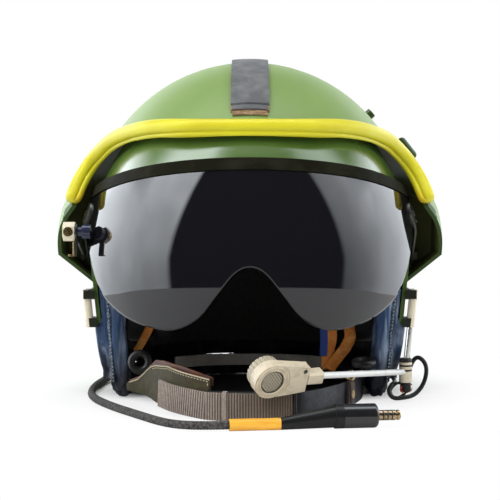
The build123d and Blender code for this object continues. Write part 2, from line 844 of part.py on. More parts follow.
def boom_parts():
    """Sliding post, the spindle under it and the ringed barrel that turns on the spindle."""
    cap_z = barrel_top_z - barrel_dome - ring_height
    base_top = barrel_foot_z - fit_gap
    cap = swing_rod(barrel_radius, cap_z, barrel_top_z)
    cap = fillet(cap.edges().group_by(Axis.Z)[-1], barrel_dome)
    spindle = swing_rod(spindle_radius, base_top - base_height, barrel_top_z - barrel_dome)
    base = cap + spindle + swing_rod(base_radius, base_top - base_height, base_top)
    post = post_rod(tube_radius, cap_z + ring_height, tube_top_z) - cap
    post = max(post.solids(), key=lambda s: s.volume)
    barrel = swing_rod(barrel_radius, barrel_foot_z, cap_z - fit_gap)
    barrel -= swing_rod(spindle_radius + pin_gap, 0, barrel_top_z)
    rings = []
    for step in range(1, 3):
        low = cap_z - step * ring_pitch
        ring = swing_rod(barrel_radius, low, low + ring_height)
        ring -= swing_rod(barrel_radius - ring_depth, low, low + ring_height)
        barrel -= ring
        rings.append(ring)
    return base, post, barrel, Compound(rings)


def mic_plane(back):
    """Plane of the microphone's face, or one behind it."""
    turn = math.radians(mic_face_angle)
    tilt = math.radians(mic_tilt_angle)
    normal = Vector(math.sin(turn) * math.cos(tilt), -math.cos(turn) * math.cos(tilt), -math.sin(tilt))
    across = Vector(math.cos(turn), math.sin(turn), 0)
    return Plane(origin=Vector(mic_x, mic_y, mic_z) - normal * back, x_dir=across, z_dir=normal)


def mic_parts():
    face = mic_plane(mic_wall)
    half_neck = mic_neck_height / 2
    taper = Polyline((0, mic_disc_radius), (mic_neck_length, half_neck),
                     (mic_neck_length, -half_neck), (0, -mic_disc_radius), close=True)
    housing = face * extrude(Circle(mic_disc_radius) + make_face(taper), mic_wall)
    housing -= mic_plane(0) * Pos(0, 0, -mic_ring_wall) * Cylinder(
        mic_grille_radius, mic_wall, align=(Align.CENTER, Align.CENTER, Align.MIN))
    seam = mic_plane(0) * Pos(0, 0, -mic_seam_depth) * extrude(
        Circle(mic_disc_radius + mic_seam_width) - Circle(mic_disc_radius), mic_seam_depth)
    housing -= seam
    grille = mic_plane(mic_ring_wall) * extrude(Circle(mic_grille_radius - pin_gap), mic_grille_wall)
    rib_turn = 360 / mic_ribs
    drum = Circle(mic_capsule_radius)
    for step in range(mic_ribs):
        drum -= Rot(0, 0, rib_turn * step) * Pos(mic_capsule_radius, 0) * Circle(mic_rib_depth)
    drum = mic_plane(mic_wall + mic_capsule_depth) * extrude(drum, mic_capsule_depth)
    middle = mic_plane(mic_wall / 2)
    spigot_low = mic_neck_length - mic_spigot_length
    axis_plane = Plane(origin=middle.origin, x_dir=middle.y_dir, z_dir=middle.x_dir)
    spigot = axis_plane * Pos(0, 0, spigot_low) * Cylinder(
        mic_spigot_radius, mic_spigot_length + fit_gap, align=(Align.CENTER, Align.CENTER, Align.MIN))
    housing -= axis_plane * Pos(0, 0, spigot_low - fit_gap) * Cylinder(
        mic_spigot_radius + pin_gap, mic_neck_length, align=(Align.CENTER, Align.CENTER, Align.MIN))
    block = axis_plane * Pos(0, 0, mic_neck_length + fit_gap) * Box(
        mic_block_height, mic_block_height, mic_block_length, align=(Align.CENTER, Align.CENTER, Align.MIN))
    block = chamfer(block.edges().filter_by(Axis(middle.origin, middle.x_dir)), mic_block_height / 6)
    connector = block + spigot
    screw_at = mic_plane(0) * Pos(mic_neck_length - 2 * mic_screw_radius, half_neck - 2 * mic_screw_radius, 0)
    screw = screw_at * Cylinder(mic_screw_radius, 2 * mic_ring_wall)
    housing -= screw
    screw = screw_at * Cylinder(mic_screw_radius, mic_ring_wall, align=(Align.CENTER, Align.CENTER, Align.MAX))
    return housing, drum, grille, screw, connector, block


def boom_arm(block):
    tip = mic_plane(mic_wall / 2)
    end = tip.origin + tip.x_dir * (mic_neck_length + mic_block_length)
    start = (post_x(swing_z), post_y, arm_root_z)
    arm_rod = rod_between(start, end, arm_radius)
    arm_rod -= swing_rod(barrel_radius, 0, barrel_top_z)
    arm_rod -= block
    return max(arm_rod.solids(), key=lambda s: s.volume)


# Linings

pad_grow = inner_grow - liner_gap - liner_wall - pad_gap


def energy_liner():
    outside = inner_grow - liner_gap
    liner = helmet_form(outside) - helmet_form(outside - liner_wall)
    region = above(liner_foot_z) + box_between((-reach, liner_back_y, liner_back_z), (reach, reach, reach))
    liner = liner & region
    return liner - face_opening(liner_inset)


def pads():
    crown_skin = dome(pad_grow) - dome(pad_grow - crown_pad_wall)
    column = Pos(0, axis_y, axis_z) * Cylinder(crown_pad_radius, reach, align=(Align.CENTER, Align.CENTER, Align.MIN))
    crown = crown_skin & column
    brow_skin = dome(pad_grow) - dome(pad_grow - brow_pad_wall)
    low = brow_front_z + liner_inset
    brow = brow_skin & box_between((-brow_pad_half_width, -reach, low), (brow_pad_half_width, axis_y, low + brow_pad_height))
    rear = crown_skin & box_between((-rear_pad_half_width, axis_y, axis_z),
                                    (rear_pad_half_width, reach, axis_z + rear_pad_height))
    return [max(pad.solids(), key=lambda s: s.volume) for pad in (crown, brow, rear)]


def side_roll():
    """Leather roll on the +X side: down the front edge of the shell and along the table to the back."""
    top_place = (flat_x - roll_top_inset, roll_front_y, roll_top_z)
    foot_x = flat_x - roll_foot_inset
    axis_height = roll_radius - roll_flat
    end_place = (roll_end_x, roll_end_y, axis_height)
    points = [
        top_place, (foot_x, roll_front_y, axis_height), (foot_x, roll_middle_y, axis_height),
        (flat_x - roll_back_inset, roll_back_y, axis_height),
        (flat_x - roll_corner_inset, roll_corner_y, axis_height), end_place,
    ]
    roll, radii, length = tube(points, roll_radius, roll_share)
    top = Pos(*top_place) * Sphere(roll_radius)
    end = Pos(*end_place) * Sphere(roll_radius)
    return (roll + top + end) & above(0)


def ear_plane(x):
    return Plane(origin=(x, ear_y, ear_z), x_dir=(0, 1, 0), z_dir=(1, 0, 0))


def ear_parts():
    """Ear cup, cushion ring and earphone on the +X side."""
    cup_x = ear_outer_x - ear_cup_depth
    shape = Ellipse(ear_half_length, ear_half_height)
    inside = Ellipse(ear_half_length - ear_cup_wall, ear_half_height - ear_cup_wall)
    cup = ear_plane(cup_x) * extrude(shape, ear_cup_depth)
    cup = fillet(cup.edges().group_by(Axis.X)[-1], ear_cup_wall)
    cup -= ear_plane(cup_x) * extrude(inside, ear_cup_depth - ear_cup_wall)
    seal_x = cup_x - ear_seal_wall
    opening = Ellipse(ear_half_length - ear_seal_width, ear_half_height - ear_seal_width)
    seal = ear_plane(seal_x) * extrude(shape - opening, ear_seal_wall)
    seal = fillet(seal.edges().group_by(Axis.X)[0], ear_seal_width / 3)
    phone_x = ear_outer_x - ear_cup_wall - earphone_height
    phone = ear_plane(phone_x) * extrude(Circle(earphone_radius), earphone_height)
    phone = fillet(phone.edges().group_by(Axis.X)[0], ear_cup_wall / 2)
    return cup, seal, phone


def ear_hangers():
    """Straps that hold the ear cups to the liner."""
    low_z = ear_z + ear_half_height
    strap = box_between((ear_outer_x - ear_cup_depth + ear_cup_wall, ear_y - hanger_half_width, low_z - ear_cup_wall),
                        (flat_x, ear_y + hanger_half_width, low_z + hanger_height))
    strap -= x_slab(ear_half_length, ear_half_height)
    strap -= helmet_form(inner_grow - liner_gap) - helmet_form(inner_grow - liner_gap - liner_wall)
    return max(strap.solids(), key=lambda s: s.volume)


def x_slab(half_length, half_height):
    """Oval bar across the helmet at the ear cups' outline."""
    return ear_plane(-reach) * extrude(Ellipse(half_length, half_height), 2 * reach)


# Straps

def band(points, low_z, height, wall, share=0.45):
    """Band on edge along a route in plan, with rounded bends."""
    path, radii = smooth_path([(x, y, 0) for x, y in points], share)
    return Pos(0, 0, low_z) * extrude(trace(path, line_width=wall), height)


def straps():
    chin = band(chin_route, strap_foot_z, webbing_height, webbing_wall)
    tab = band(tab_route, strap_foot_z, 2 * webbing_height, tab_wall)
    tab = tab & front_prism(Polyline(*tab_corners, close=True), -reach, 0)
    tab -= band(chin_route, strap_foot_z, 2 * webbing_height, webbing_wall)
    tab = max(tab.solids(), key=lambda s: s.volume)
    middle_z = strap_foot_z + webbing_height / 2
    keeper = Pos(keeper_x, keeper_y, middle_z) * Rot(0, 0, keeper_turn) * Box(
        keeper_width, keeper_wall, webbing_height + webbing_wall)
    keeper = (keeper & above(0)) - chin
    strap = Pos(*snap_strap_place, middle_z) * Rot(0, 0, snap_strap_turn) * Box(
        snap_strap_width, loop_wall, webbing_height)
    strap -= chin
    strap = max(strap.solids(), key=lambda s: s.volume)
    snap = Pos(*snap_strap_place, middle_z) * Rot(0, 0, snap_strap_turn) * Rot(90, 0, 0) * Pos(
        0, 0, loop_wall / 2) * Cylinder(snap_radius, snap_height, align=(Align.CENTER, Align.CENTER, Align.MIN))
    ring_z = strap_foot_z + webbing_height + brass_ring_radius + brass_wire_radius
    ring = Pos(*snap_strap_place, ring_z) * Rot(90, 0, snap_strap_turn) * Torus(brass_ring_radius, brass_wire_radius)
    return chin, tab, keeper, strap, snap, ring


def nape_strap(rolls):
    """Strap across the inside of the back, between the leather rolls."""
    strap = band(nape_route, nape_foot_z, nape_height, webbing_wall) - rolls[0] - rolls[1]
    return max(strap.solids(), key=lambda s: s.volume)


def rubber_ring(x, y, z, turn, tilt):
    return Pos(x, y, z) * Rot(tilt, 0, turn) * Torus(ring_radius, ring_wire_radius)


def leather_loops():
    left = Pos(-loop_left_x, loop_y, loop_left_z) * Rot(0, loop_left_lean, 0) * Box(loop_width, loop_wall, loop_left_length)
    path, radii = smooth_path([(x, z, 0) for x, z in loop_route])
    right = extrude(trace(path, line_width=loop_right_width), loop_wall)
    right = Plane(origin=(0, loop_y + loop_wall / 2, 0), x_dir=(1, 0, 0), z_dir=(0, -1, 0)) * right
    tape = box_between((tape_x, loop_y - loop_wall / 2, tape_foot_z),
                       (tape_x + tape_width, loop_y - loop_wall / 2 + tape_wall, tape_top_z))
    return left, right, tape


# Cord

plug_turn = math.radians(plug_angle)


def plug_point(along, z):
    """Point on the plug's line, which lies along the front of the helmet."""
    return (plug_start_x + along * math.cos(plug_turn), plug_start_y + along * math.sin(plug_turn), z)


def plug_plane(along, z):
    return Plane(origin=plug_point(along, z), x_dir=(-math.sin(plug_turn), math.cos(plug_turn), 0),
                 z_dir=(math.cos(plug_turn), math.sin(plug_turn), 0))


def plug_parts():
    boot_start = sleeve_length
    plug_start = boot_start + boot_length
    jack_start = plug_start + plug_length
    sleeve = plug_plane(0, sleeve_radius) * Cylinder(
        sleeve_radius, sleeve_length, align=(Align.CENTER, Align.CENTER, Align.MIN))
    boot = loft([plug_plane(boot_start, sleeve_radius) * Circle(sleeve_radius),
                 plug_plane(plug_start - flange_height, flange_radius) * Circle(boot_end_radius)], ruled=True)
    flange = plug_plane(plug_start - flange_height, flange_radius) * Cylinder(
        flange_radius, flange_height, align=(Align.CENTER, Align.CENTER, Align.MIN))
    boot = boot + flange
    body = plug_plane(plug_start, flange_radius) * Cylinder(
        plug_radius, plug_length, align=(Align.CENTER, Align.CENTER, Align.MIN))
    body = fillet(body.edges().sort_by(lambda e: e.center().X)[-1], plug_round)
    shaft = plug_plane(jack_start, flange_radius)
    jack = shaft * Cylinder(jack_radius, jack_length, align=(Align.CENTER, Align.CENTER, Align.MIN))
    bands = []
    for step in range(1, jack_contacts):
        at = (jack_length - jack_tip_length) / jack_contacts * step
        ring = extrude(Circle(jack_radius) - Circle(jack_radius - band_depth), band_height)
        ring = shaft * Pos(0, 0, at) * ring
        jack -= ring
        bands.append(ring)
    groove_at = jack_length - jack_tip_length
    groove = extrude(Circle(jack_radius) - Circle(jack_radius - jack_groove), band_height)
    jack -= shaft * Pos(0, 0, groove_at) * groove
    jack = chamfer(jack.edges().sort_by(lambda e: e.center().X)[-1], jack_groove)
    return sleeve, boot, body, jack, Compound(bands)


def cord_parts():
    route = cord_route + [plug_point(-cord_straight, sleeve_radius), plug_point(0, sleeve_radius)]
    cord, radii, length = tube(route, cord_radius)
    print("cord length", round(length, 1), "radii", [round(r) for r in radii])
    print("cord volume", round(cord.volume), "section times length", round(math.pi * cord_radius ** 2 * length))
    start, next_point = Vector(*cord_route[0]), Vector(*cord_route[1])
    back = (start - next_point).normalized()
    gland = Plane(origin=start, z_dir=back) * Cone(
        gland_foot_radius, gland_radius, gland_length, align=(Align.CENTER, Align.CENTER, Align.MIN))
    gland -= helmet_form(shell_grow)
    gland = max(gland.solids(), key=lambda s: s.volume)
    lead, lead_radii, lead_length = tube(lead_route, lead_radius)
    print("lead length", round(lead_length, 1), "radii", [round(r, 1) for r in lead_radii])
    print("lead volume", round(lead.volume), "section times length", round(math.pi * lead_radius ** 2 * lead_length))
    return cord, gland, lead


def lead_clip():
    """Block under the shell's edge that the lead goes into."""
    x, y, z = lead_route[-1]
    half = 1.4 * lead_radius
    return box_between((x - half, y, z - half), (x + half, y + lead_clip_width, shell_edge_z))


def hood_fittings():
    """Raised fitting and stud on the +X side of the hood."""
    start = fan_point(crown_centre, crown_radius + hood_grow, crown_turn)
    block = Pos(fitting_along, 0, -fitting_sink) * Box(fitting_length, fitting_width, fitting_height + fitting_sink,
                                               align=(Align.CENTER, Align.CENTER, Align.MIN))
    block = fillet(block.edges().group_by(Axis.Z)[-1], fitting_round)
    block = Pos(0, fitting_y - axis_y, 0) * block
    block = Pos(start[0], axis_y, axis_z + start[1]) * Rot(0, crown_turn, 0) * block
    block -= hood_form(hood_grow)
    block = max(block.solids(), key=lambda s: s.volume)
    stud = radial(stud_angle, 0, stud_radius, dome(hood_grow), dome(hood_grow + stud_height))
    return block, stud


hood = visor_cover()
strip, backing = crown_strips()
spacers, hood_screws = fastened_hood()
fitting, stud = hood_fittings()
lens, rim = visor_parts()
arm = visor_arm()
block, block_screw, knob, knob_hole = lock_parts()
bracket = lock_bracket() + mirror(bracket_tongue(), Plane.YZ) - mirror(knob_hole, Plane.YZ)
holder_left, holder_right, clamps = holders()
base, post, barrel, rings = boom_parts()
housing, drum, grille, mic_screw, connector, connector_block = mic_parts()
crown_pad, brow_pad, rear_pad = pads()
roll = side_roll()
cup, seal, phone = ear_parts()
hanger = ear_hangers()
chin, tab, keeper, snap_strap, snap, brass_ring = straps()
loop_left, loop_right, tape = leather_loops()
sleeve, boot, plug, jack, bands = plug_parts()
cord, gland, lead = cord_parts()

pieces = {
    "outer_shell": outer_shell(),
    "visor_cover": hood,
    "cover_edge_trim": cover_edge_trim(hood),
    "crown_strip": strip,
    "crown_strip_backing": backing,
    "cover_spacers": spacers,
    "cover_screws": hood_screws,
    "cover_fittings": Compound([fitting, stud]),
    "wing_lugs": wing_lugs(),
    "visor_lens": lens,
    "visor_rim": rim,
    "visor_arm_left": mirror(arm, Plane.YZ),
    "visor_arm_right": arm,
    "visor_arm_screws": arm_screws(),
    "visor_pivots": visor_pivots(),
    "pivot_nuts": pivot_nuts(),
    "lock_bracket": bracket,
    "lock_block": mirror(block, Plane.YZ),
    "lock_screw": mirror(block_screw, Plane.YZ),
    "lock_knob": mirror(knob, Plane.YZ),
    "lock_clip": mirror(lock_clip(), Plane.YZ),
    "side_bars": Compound([holder_left, holder_right]),
    "side_bar_clamps": clamps,
    "boom_base": base,
    "boom_post": post,
    "boom_barrel": barrel,
    "boom_rings": rings,
    "boom_arm": boom_arm(connector_block),
    "mic_connector": connector,
    "mic_housing": housing,
    "mic_capsule": drum,
    "mic_grille": grille,
    "mic_screw": mic_screw,
    "mic_lead": lead,
    "lead_clip": lead_clip(),
    "energy_liner": energy_liner(),
    "crown_pad": crown_pad,
    "brow_pad": brow_pad,
    "rear_pad": rear_pad,
    "side_roll_left": mirror(roll, Plane.YZ),
    "side_roll_right": roll,
    "ear_cups": Compound(list(on_both_sides(cup))),
    "ear_seals": Compound(list(on_both_sides(seal))),
    "earphones": Compound(list(on_both_sides(phone))),
    "ear_hangers": Compound(list(on_both_sides(hanger))),
    "nape_strap": nape_strap(on_both_sides(roll)),
    "chin_strap": chin,
    "chin_strap_tab": tab,
    "strap_rubber_rings": Compound([rubber_ring(*ring_left_place, 14, 82), rubber_ring(*ring_right_place, 0, 8)]),
    "leather_loops": Compound([loop_left, loop_right]),
    "blue_tape": tape,
    "strap_keepers": Compound([keeper, snap_strap]),
    "snap_and_ring": Compound([snap, brass_ring]),
    "cord_gland": gland,
    "cord": cord,
    "cord_sleeve": sleeve,
    "plug_boot": boot,
    "plug_body": plug,
    "plug_jack": jack,
    "plug_bands": bands,
}
print(len(pieces), "nodes")

# The origin goes under the middle of everything but the cords and what hangs on them
on_cords = ("mic_lead", "cord_gland", "cord", "cord_sleeve", "plug_boot", "plug_body", "plug_jack", "plug_bands")
low, high = [], []
for name, shape in pieces.items():
    if name not in on_cords:
        box = shape.bounding_box()
        low.append(box.min)
        high.append(box.max)
middle_x = (min(v.X for v in low) + max(v.X for v in high)) / 2
middle_y = (min(v.Y for v in low) + max(v.Y for v in high)) / 2
print("middle", round(middle_x, 4), round(middle_y, 4), "lowest", round(min(v.Z for v in low), 4))

for name, shape in pieces.items():
    export_step(Pos(-middle_x, -middle_y, 0) * shape, os.path.join("parts", name + ".step"))
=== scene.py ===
import bmesh
import bpy
import math
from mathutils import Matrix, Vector, noise


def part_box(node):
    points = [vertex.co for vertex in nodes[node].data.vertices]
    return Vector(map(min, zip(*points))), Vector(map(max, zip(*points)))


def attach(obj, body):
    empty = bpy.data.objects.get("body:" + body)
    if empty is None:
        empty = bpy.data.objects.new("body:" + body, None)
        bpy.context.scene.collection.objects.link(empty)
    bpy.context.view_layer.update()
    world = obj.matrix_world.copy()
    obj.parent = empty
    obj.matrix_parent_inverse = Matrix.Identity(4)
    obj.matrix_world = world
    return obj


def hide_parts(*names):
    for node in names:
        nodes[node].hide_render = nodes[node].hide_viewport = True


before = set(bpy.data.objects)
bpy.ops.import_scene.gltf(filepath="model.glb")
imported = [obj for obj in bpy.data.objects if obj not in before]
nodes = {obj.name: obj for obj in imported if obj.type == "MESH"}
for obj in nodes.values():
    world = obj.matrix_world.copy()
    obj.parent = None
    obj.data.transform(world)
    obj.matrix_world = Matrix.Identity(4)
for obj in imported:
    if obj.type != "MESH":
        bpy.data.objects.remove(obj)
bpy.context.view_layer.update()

# The helmet faces -Y on a table at z = 0. Lengths in this file are in millimetres until a mesh is
# made, in the frame that the part's source is drawn in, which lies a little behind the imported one.
MM = 0.001
axis_y, axis_z = 5.0, 110.5
lens_back = -22.0
moved_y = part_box("visor_lens")[1].y / MM - lens_back


def place(x, y, z):
    """A point of the drawing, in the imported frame's metres."""
    return Vector((x * MM, (y + moved_y) * MM, z * MM))


# Finishes. Each one is a Principled shader whose inputs come from nodes in the object's own space.

class Value:
    """An output of a node. Arithmetic on it adds Math nodes."""

    def __init__(self, tree, socket):
        self.tree = tree
        self.socket = socket

    def maths(self, operation, first, second):
        """A Math node on two values or numbers."""
        made = self.tree.nodes.new("ShaderNodeMath")
        made.operation = operation
        for entry, term in zip(made.inputs, (first, second)):
            if isinstance(term, Value):
                self.tree.links.new(term.socket, entry)
            else:
                entry.default_value = term
        return Value(self.tree, made.outputs[0])

    def __add__(self, other):
        return self.maths("ADD", self, other)

    def __radd__(self, other):
        return self.maths("ADD", other, self)

    def __sub__(self, other):
        return self.maths("SUBTRACT", self, other)

    def __rsub__(self, other):
        return self.maths("SUBTRACT", other, self)

    def __mul__(self, other):
        return self.maths("MULTIPLY", self, other)

    def __rmul__(self, other):
        return self.maths("MULTIPLY", other, self)

    def __gt__(self, other):
        return self.maths("GREATER_THAN", self, other)


class Finish:
    """A material, or the world, while its nodes are put together."""

    def __init__(self, name, owner=None):
        self.owner = owner or bpy.data.materials.new(name)
        self.owner.use_nodes = True
        self.tree = self.owner.node_tree
        self.shader = self.tree.nodes.get("Principled BSDF")

    def node(self, kind, settings=None, output=0, **inputs):
        """Any other node, from its type, its settings and what goes into its sockets."""
        made = self.tree.nodes.new(kind)
        for key, setting in (settings or {}).items():
            if key == "stops":
                ramp = made.color_ramp
                while len(ramp.elements) < len(setting):
                    ramp.elements.new(1.0)
                for element, (position, colour) in zip(ramp.elements, setting):
                    element.position = position
                    element.color = (*colour, 1.0)
            else:
                setattr(made, key, setting)
        for key, term in inputs.items():
            self.feed(made, key, term)
        return Value(self.tree, made.outputs[output])

    def feed(self, made, key, term):
        """Links or sets a socket by its name, or by its number as in0, in1 and so on."""
        numbered = key.startswith("in") and key[2:].isdigit()
        entry = made.inputs[int(key[2:]) if numbered else key]
        if isinstance(term, Value):
            self.tree.links.new(term.socket, entry)
        elif hasattr(entry.default_value, "__len__") and len(entry.default_value) == 4 and len(term) == 3:
            entry.default_value = (*term, 1.0)
        else:
            entry.default_value = term

    def place(self, stretch=(1, 1, 1)):
        """Where a point of the surface is, in metres, stretched for grain that runs one way."""
        where = self.node("ShaderNodeTexCoord", output=3)
        return self.node("ShaderNodeMapping", {"vector_type": "TEXTURE"}, in0=where,
                         in3=tuple(1 / s for s in stretch))

    def grain(self, scale, detail=3.0, rough=0.5, stretch=(1, 1, 1), at=None):
        """Fractal noise, about a half everywhere."""
        return self.node("ShaderNodeTexNoise", Vector=at or self.place(stretch), Scale=scale, Detail=detail,
                         Roughness=rough)

    def cells(self, scale, feature="F1"):
        """Rounded cells, from 0 at their middles."""
        return self.node("ShaderNodeTexVoronoi", {"feature": feature}, Vector=self.place(), Scale=scale)

    def steps(self, value, *stops):
        """A value turned into colours through a ramp."""
        return self.node("ShaderNodeValToRGB", {"stops": stops}, Fac=value)

    def level(self, value, low, high, low_out=0.0, high_out=1.0):
        """A value brought from one range to another, held at both ends."""
        return self.node("ShaderNodeMapRange", in0=value, in1=low, in2=high, in3=low_out, in4=high_out)

    def blend(self, share, first, second):
        """A mix of two colours."""
        return self.node("ShaderNodeMix", {"data_type": "RGBA"}, output=2, in0=share, in6=first, in7=second)

    def part_of(self, axis, vector=None):
        """One of the three numbers of a place."""
        return self.node("ShaderNodeSeparateXYZ", output="XYZ".index(axis), in0=vector or self.place())

    def relief(self, height, depth, strength=1.0, under=None):
        """Bumps of a depth in millimetres."""
        inputs = {"Height": height, "Distance": depth * MM, "Strength": strength}
        if under:
            inputs["Normal"] = under
        return self.node("ShaderNodeBump", **inputs)

    def done(self, **inputs):
        """Feeds the Principled shader and gives the material."""
        names = {"colour": "Base Color", "rough": "Roughness", "metal": "Metallic", "coat": "Coat Weight",
                 "normal": "Normal", "alpha": "Alpha", "sheen": "Sheen Weight",
                 "specular": "Specular IOR Level"}
        for key, term in inputs.items():
            self.feed(self.shader, names[key], term)
        return self.owner


# Studio: a pale table under a white surround. The visor and the metal mirror a dark middle behind the
# camera, and a wide pale screen on either side of it.
photo_width, focal_pixels, horizon_row, sensor_width = 500, 1332, 199, 36.0
camera_data = bpy.data.cameras.new("camera")
camera_data.sensor_width = sensor_width
camera_data.lens = sensor_width * focal_pixels / photo_width
camera = bpy.data.objects.new("camera", camera_data)
camera.location = place(0, -1065, 156)
camera.rotation_euler = (math.pi / 2 - math.atan((photo_width / 2 - horizon_row) / focal_pixels), 0, 0)
bpy.context.scene.collection.objects.link(camera)
bpy.context.scene.camera = camera
bpy.context.scene.view_settings.view_transform = "Standard"

world = bpy.data.worlds.new("surround")
bpy.context.scene.world = world
surround = Finish("surround", world)
background = surround.tree.nodes["Background"]
direction = surround.node("ShaderNodeTexCoord", output=0)
across = surround.part_of("X", direction)
forward = surround.part_of("Y", direction)
height = surround.part_of("Z", direction)
side_share = surround.node("ShaderNodeMath", {"operation": "ARCTAN2"}, in0=across, in1=forward * -1.0)
left_edge = surround.level(height, 0.0, 0.8, math.radians(60), math.radians(47))
right_edge = surround.level(height, 0.0, 0.8, math.radians(71), math.radians(58))
left_screen = surround.level(side_share + left_edge, math.radians(-2), math.radians(2), 1.0, 0.0)
right_screen = surround.level(side_share - right_edge, math.radians(-2), math.radians(2))
cloud = surround.level(surround.grain(2.2, 3.0, at=direction), 0.3, 0.7, 0.82, 1.15)
left_light = left_screen * surround.level(height, -0.2, 0.7, 3.4, 8.5)
right_light = right_screen * surround.level(height, -0.2, 0.7, 2.4, 6.0)
right_light = right_light * surround.level(side_share - right_edge, 0.0, math.radians(40), 0.45, 1.0)
above_back = surround.level(forward, 0.0, 0.25) * surround.level(height, 0.35, 0.60)
screen_light = (left_light + right_light) * cloud * (1 - above_back) + 0.02
roof = surround.level(height, 0.86, 0.97)
mirrored_light = roof * 1.2 + screen_light
seen = surround.node("ShaderNodeLightPath", output="Is Camera Ray")
seen = seen + surround.node("ShaderNodeLightPath", output="Is Transmission Ray")
glossy = surround.node("ShaderNodeLightPath", output="Is Glossy Ray")
behind_share = surround.level(forward, 0.75, 0.95)
mirrored_light = mirrored_light * (1 - behind_share) + behind_share
strength = seen + glossy * (1 - seen) * mirrored_light + (1 - glossy) * (1 - seen) * 0.62
surround.feed(background, "Color", surround.blend(glossy * (1 - seen), (1.0, 1.0, 1.0), (0.90, 0.95, 1.0)))
surround.feed(background, "Strength", strength)


def lamp(name, at, size, power):
    """A soft square lamp that points at the middle of the helmet."""
    data = bpy.data.lights.new(name, "AREA")
    data.shape = "RECTANGLE"
    data.size, data.size_y = size
    data.energy = power
    data.specular_factor = 0.25
    made = bpy.data.objects.new(name, data)
    made.location = at
    made.visible_glossy = False
    made.rotation_euler = (Vector((0, 0, 0.12)) - Vector(at)).to_track_quat("-Z", "Y").to_euler()
    bpy.context.scene.collection.objects.link(made)


lamp("key", (-0.9, -0.9, 1.1), size=(0.9, 0.9), power=13)
lamp("fill", (1.1, -0.8, 0.9), size=(0.9, 0.9), power=9)
lamp("top", (0.0, 0.1, 1.5), size=(1.0, 1.0), power=9)

# The table has a painted shadow, a dark patch where the helmet stands, and fades to white around it in the
# camera's view.
# Past the mirrored reach, in metres, the glossy surfaces see the surround through it.
floor_mesh = bpy.data.meshes.new("floor")
floor_mesh.from_pydata([(-6, -6, 0), (6, -6, 0), (6, 6, 0), (-6, 6, 0)], [], [(0, 1, 2, 3)])
floor = bpy.data.objects.new("floor", floor_mesh)
bpy.context.scene.collection.objects.link(floor)
table = Finish("table")
mottle = table.grain(6.0, 4.0)
away = table.node("ShaderNodeVectorMath", {"operation": "LENGTH"}, output=1, in0=table.place())
top = table.blend(mottle, (0.86, 0.86, 0.86), (0.92, 0.92, 0.92))
foot_middle, foot_half = (0.0, 0.078, 0.0), (0.113, 0.078, 1.0)
footprint = table.node("ShaderNodeVectorMath", {"operation": "SUBTRACT"}, in0=table.place(), in1=foot_middle)
footprint = table.node("ShaderNodeVectorMath", {"operation": "DIVIDE"}, in0=footprint, in1=foot_half)
under = table.node("ShaderNodeVectorMath", {"operation": "LENGTH"}, output=1, in0=footprint)
# Painted shadow: the patch under the helmet is near black.
shade = (0.02, 0.02, 0.02)
table.done(colour=table.blend(table.level(under, 0.72, 1.08), shade, top), rough=0.55, specular=0.2)
output = next(n for n in table.tree.nodes if n.type == "OUTPUT_MATERIAL")
white = table.node("ShaderNodeEmission", Color=(1.0, 1.0, 1.0), Strength=1.0)
clear = table.node("ShaderNodeBsdfTransparent")
plain = Value(table.tree, table.shader.outputs[0])
mirrored_reach = 0.46
beyond = (away > mirrored_reach) * table.node("ShaderNodeLightPath", output="Is Glossy Ray")
shaded = table.node("ShaderNodeMixShader", in0=beyond, in1=plain, in2=clear)
fading = table.level(under, 1.22, 1.60, 0.0, 0.72) + table.level(under, 1.60, 3.4, 0.0, 0.28)
fading = fading * table.node("ShaderNodeLightPath", output="Is Camera Ray")
lit = table.node("ShaderNodeMixShader", in0=fading, in1=shaded, in2=white)
table.tree.links.new(lit.socket, output.inputs["Surface"])
floor_mesh.materials.append(table.owner)


# Outer shell: a one-piece moulded dome in green satin paint, narrowing under the ears to an open foot.
# The paint is sprayed over the moulding, so it has a fine orange peel, faint mottling and small scuffs.

def dress(name, material, edge=0.0):
    """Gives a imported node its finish, and breaks its sharp edges by a width in millimetres."""
    piece = nodes[name]
    piece.data.materials.clear()
    piece.data.materials.append(material)
    for face in piece.data.polygons:
        face.use_smooth = True
        face.material_index = 0
    weld = piece.modifiers.new("weld", "WELD")
    weld.merge_threshold = 0.00002
    if edge:
        bevel = piece.modifiers.new("edge", "BEVEL")
        bevel.width = edge * MM
        bevel.segments = 2
        bevel.limit_method = "ANGLE"
        bevel.angle_limit = math.radians(38)
    piece.modifiers.new("normals", "WEIGHTED_NORMAL")


def green_paint(name, light, dark, gloss, shine=0.5):
    """Satin paint in two greens, with orange peel, dark flecks and pale scuffs."""
    paint = Finish(name)
    mottle = paint.grain(9.0, 4.0)
    flecks = paint.level(paint.grain(420.0, 2.0), 0.70, 0.76)
    scuffs = paint.level(paint.grain(38.0, 8.0, 0.75, stretch=(1, 1, 5)), 0.66, 0.74)
    colour = paint.blend(paint.level(mottle, 0.35, 0.65), dark, light)
    colour = paint.blend(flecks * 0.35, colour, (0.03, 0.05, 0.02))
    colour = paint.blend(scuffs * 0.30, colour, (0.30, 0.40, 0.24))
    peel = paint.relief(paint.grain(650.0, 2.0), 0.03, 0.35)
    return paint.done(colour=colour, rough=paint.level(mottle, 0.3, 0.7, gloss, gloss + 0.10) + scuffs * 0.2,
                      specular=shine, normal=peel)


# The shell's green is darker than the hood's though both are one paint: partly its own green, partly painted
# shade, as on the brow under the trim.
shell_green = green_paint("shell_green", (0.074, 0.136, 0.026), (0.054, 0.106, 0.018), gloss=0.16,
                          shine=0.7)
# Faces that look inward get a near-black copy of the same green paint: painted shade inside the shell.
inside_dark = green_paint("inside_dark", (0.016, 0.020, 0.009), (0.010, 0.012, 0.007), gloss=0.50,
                          shine=0.2)


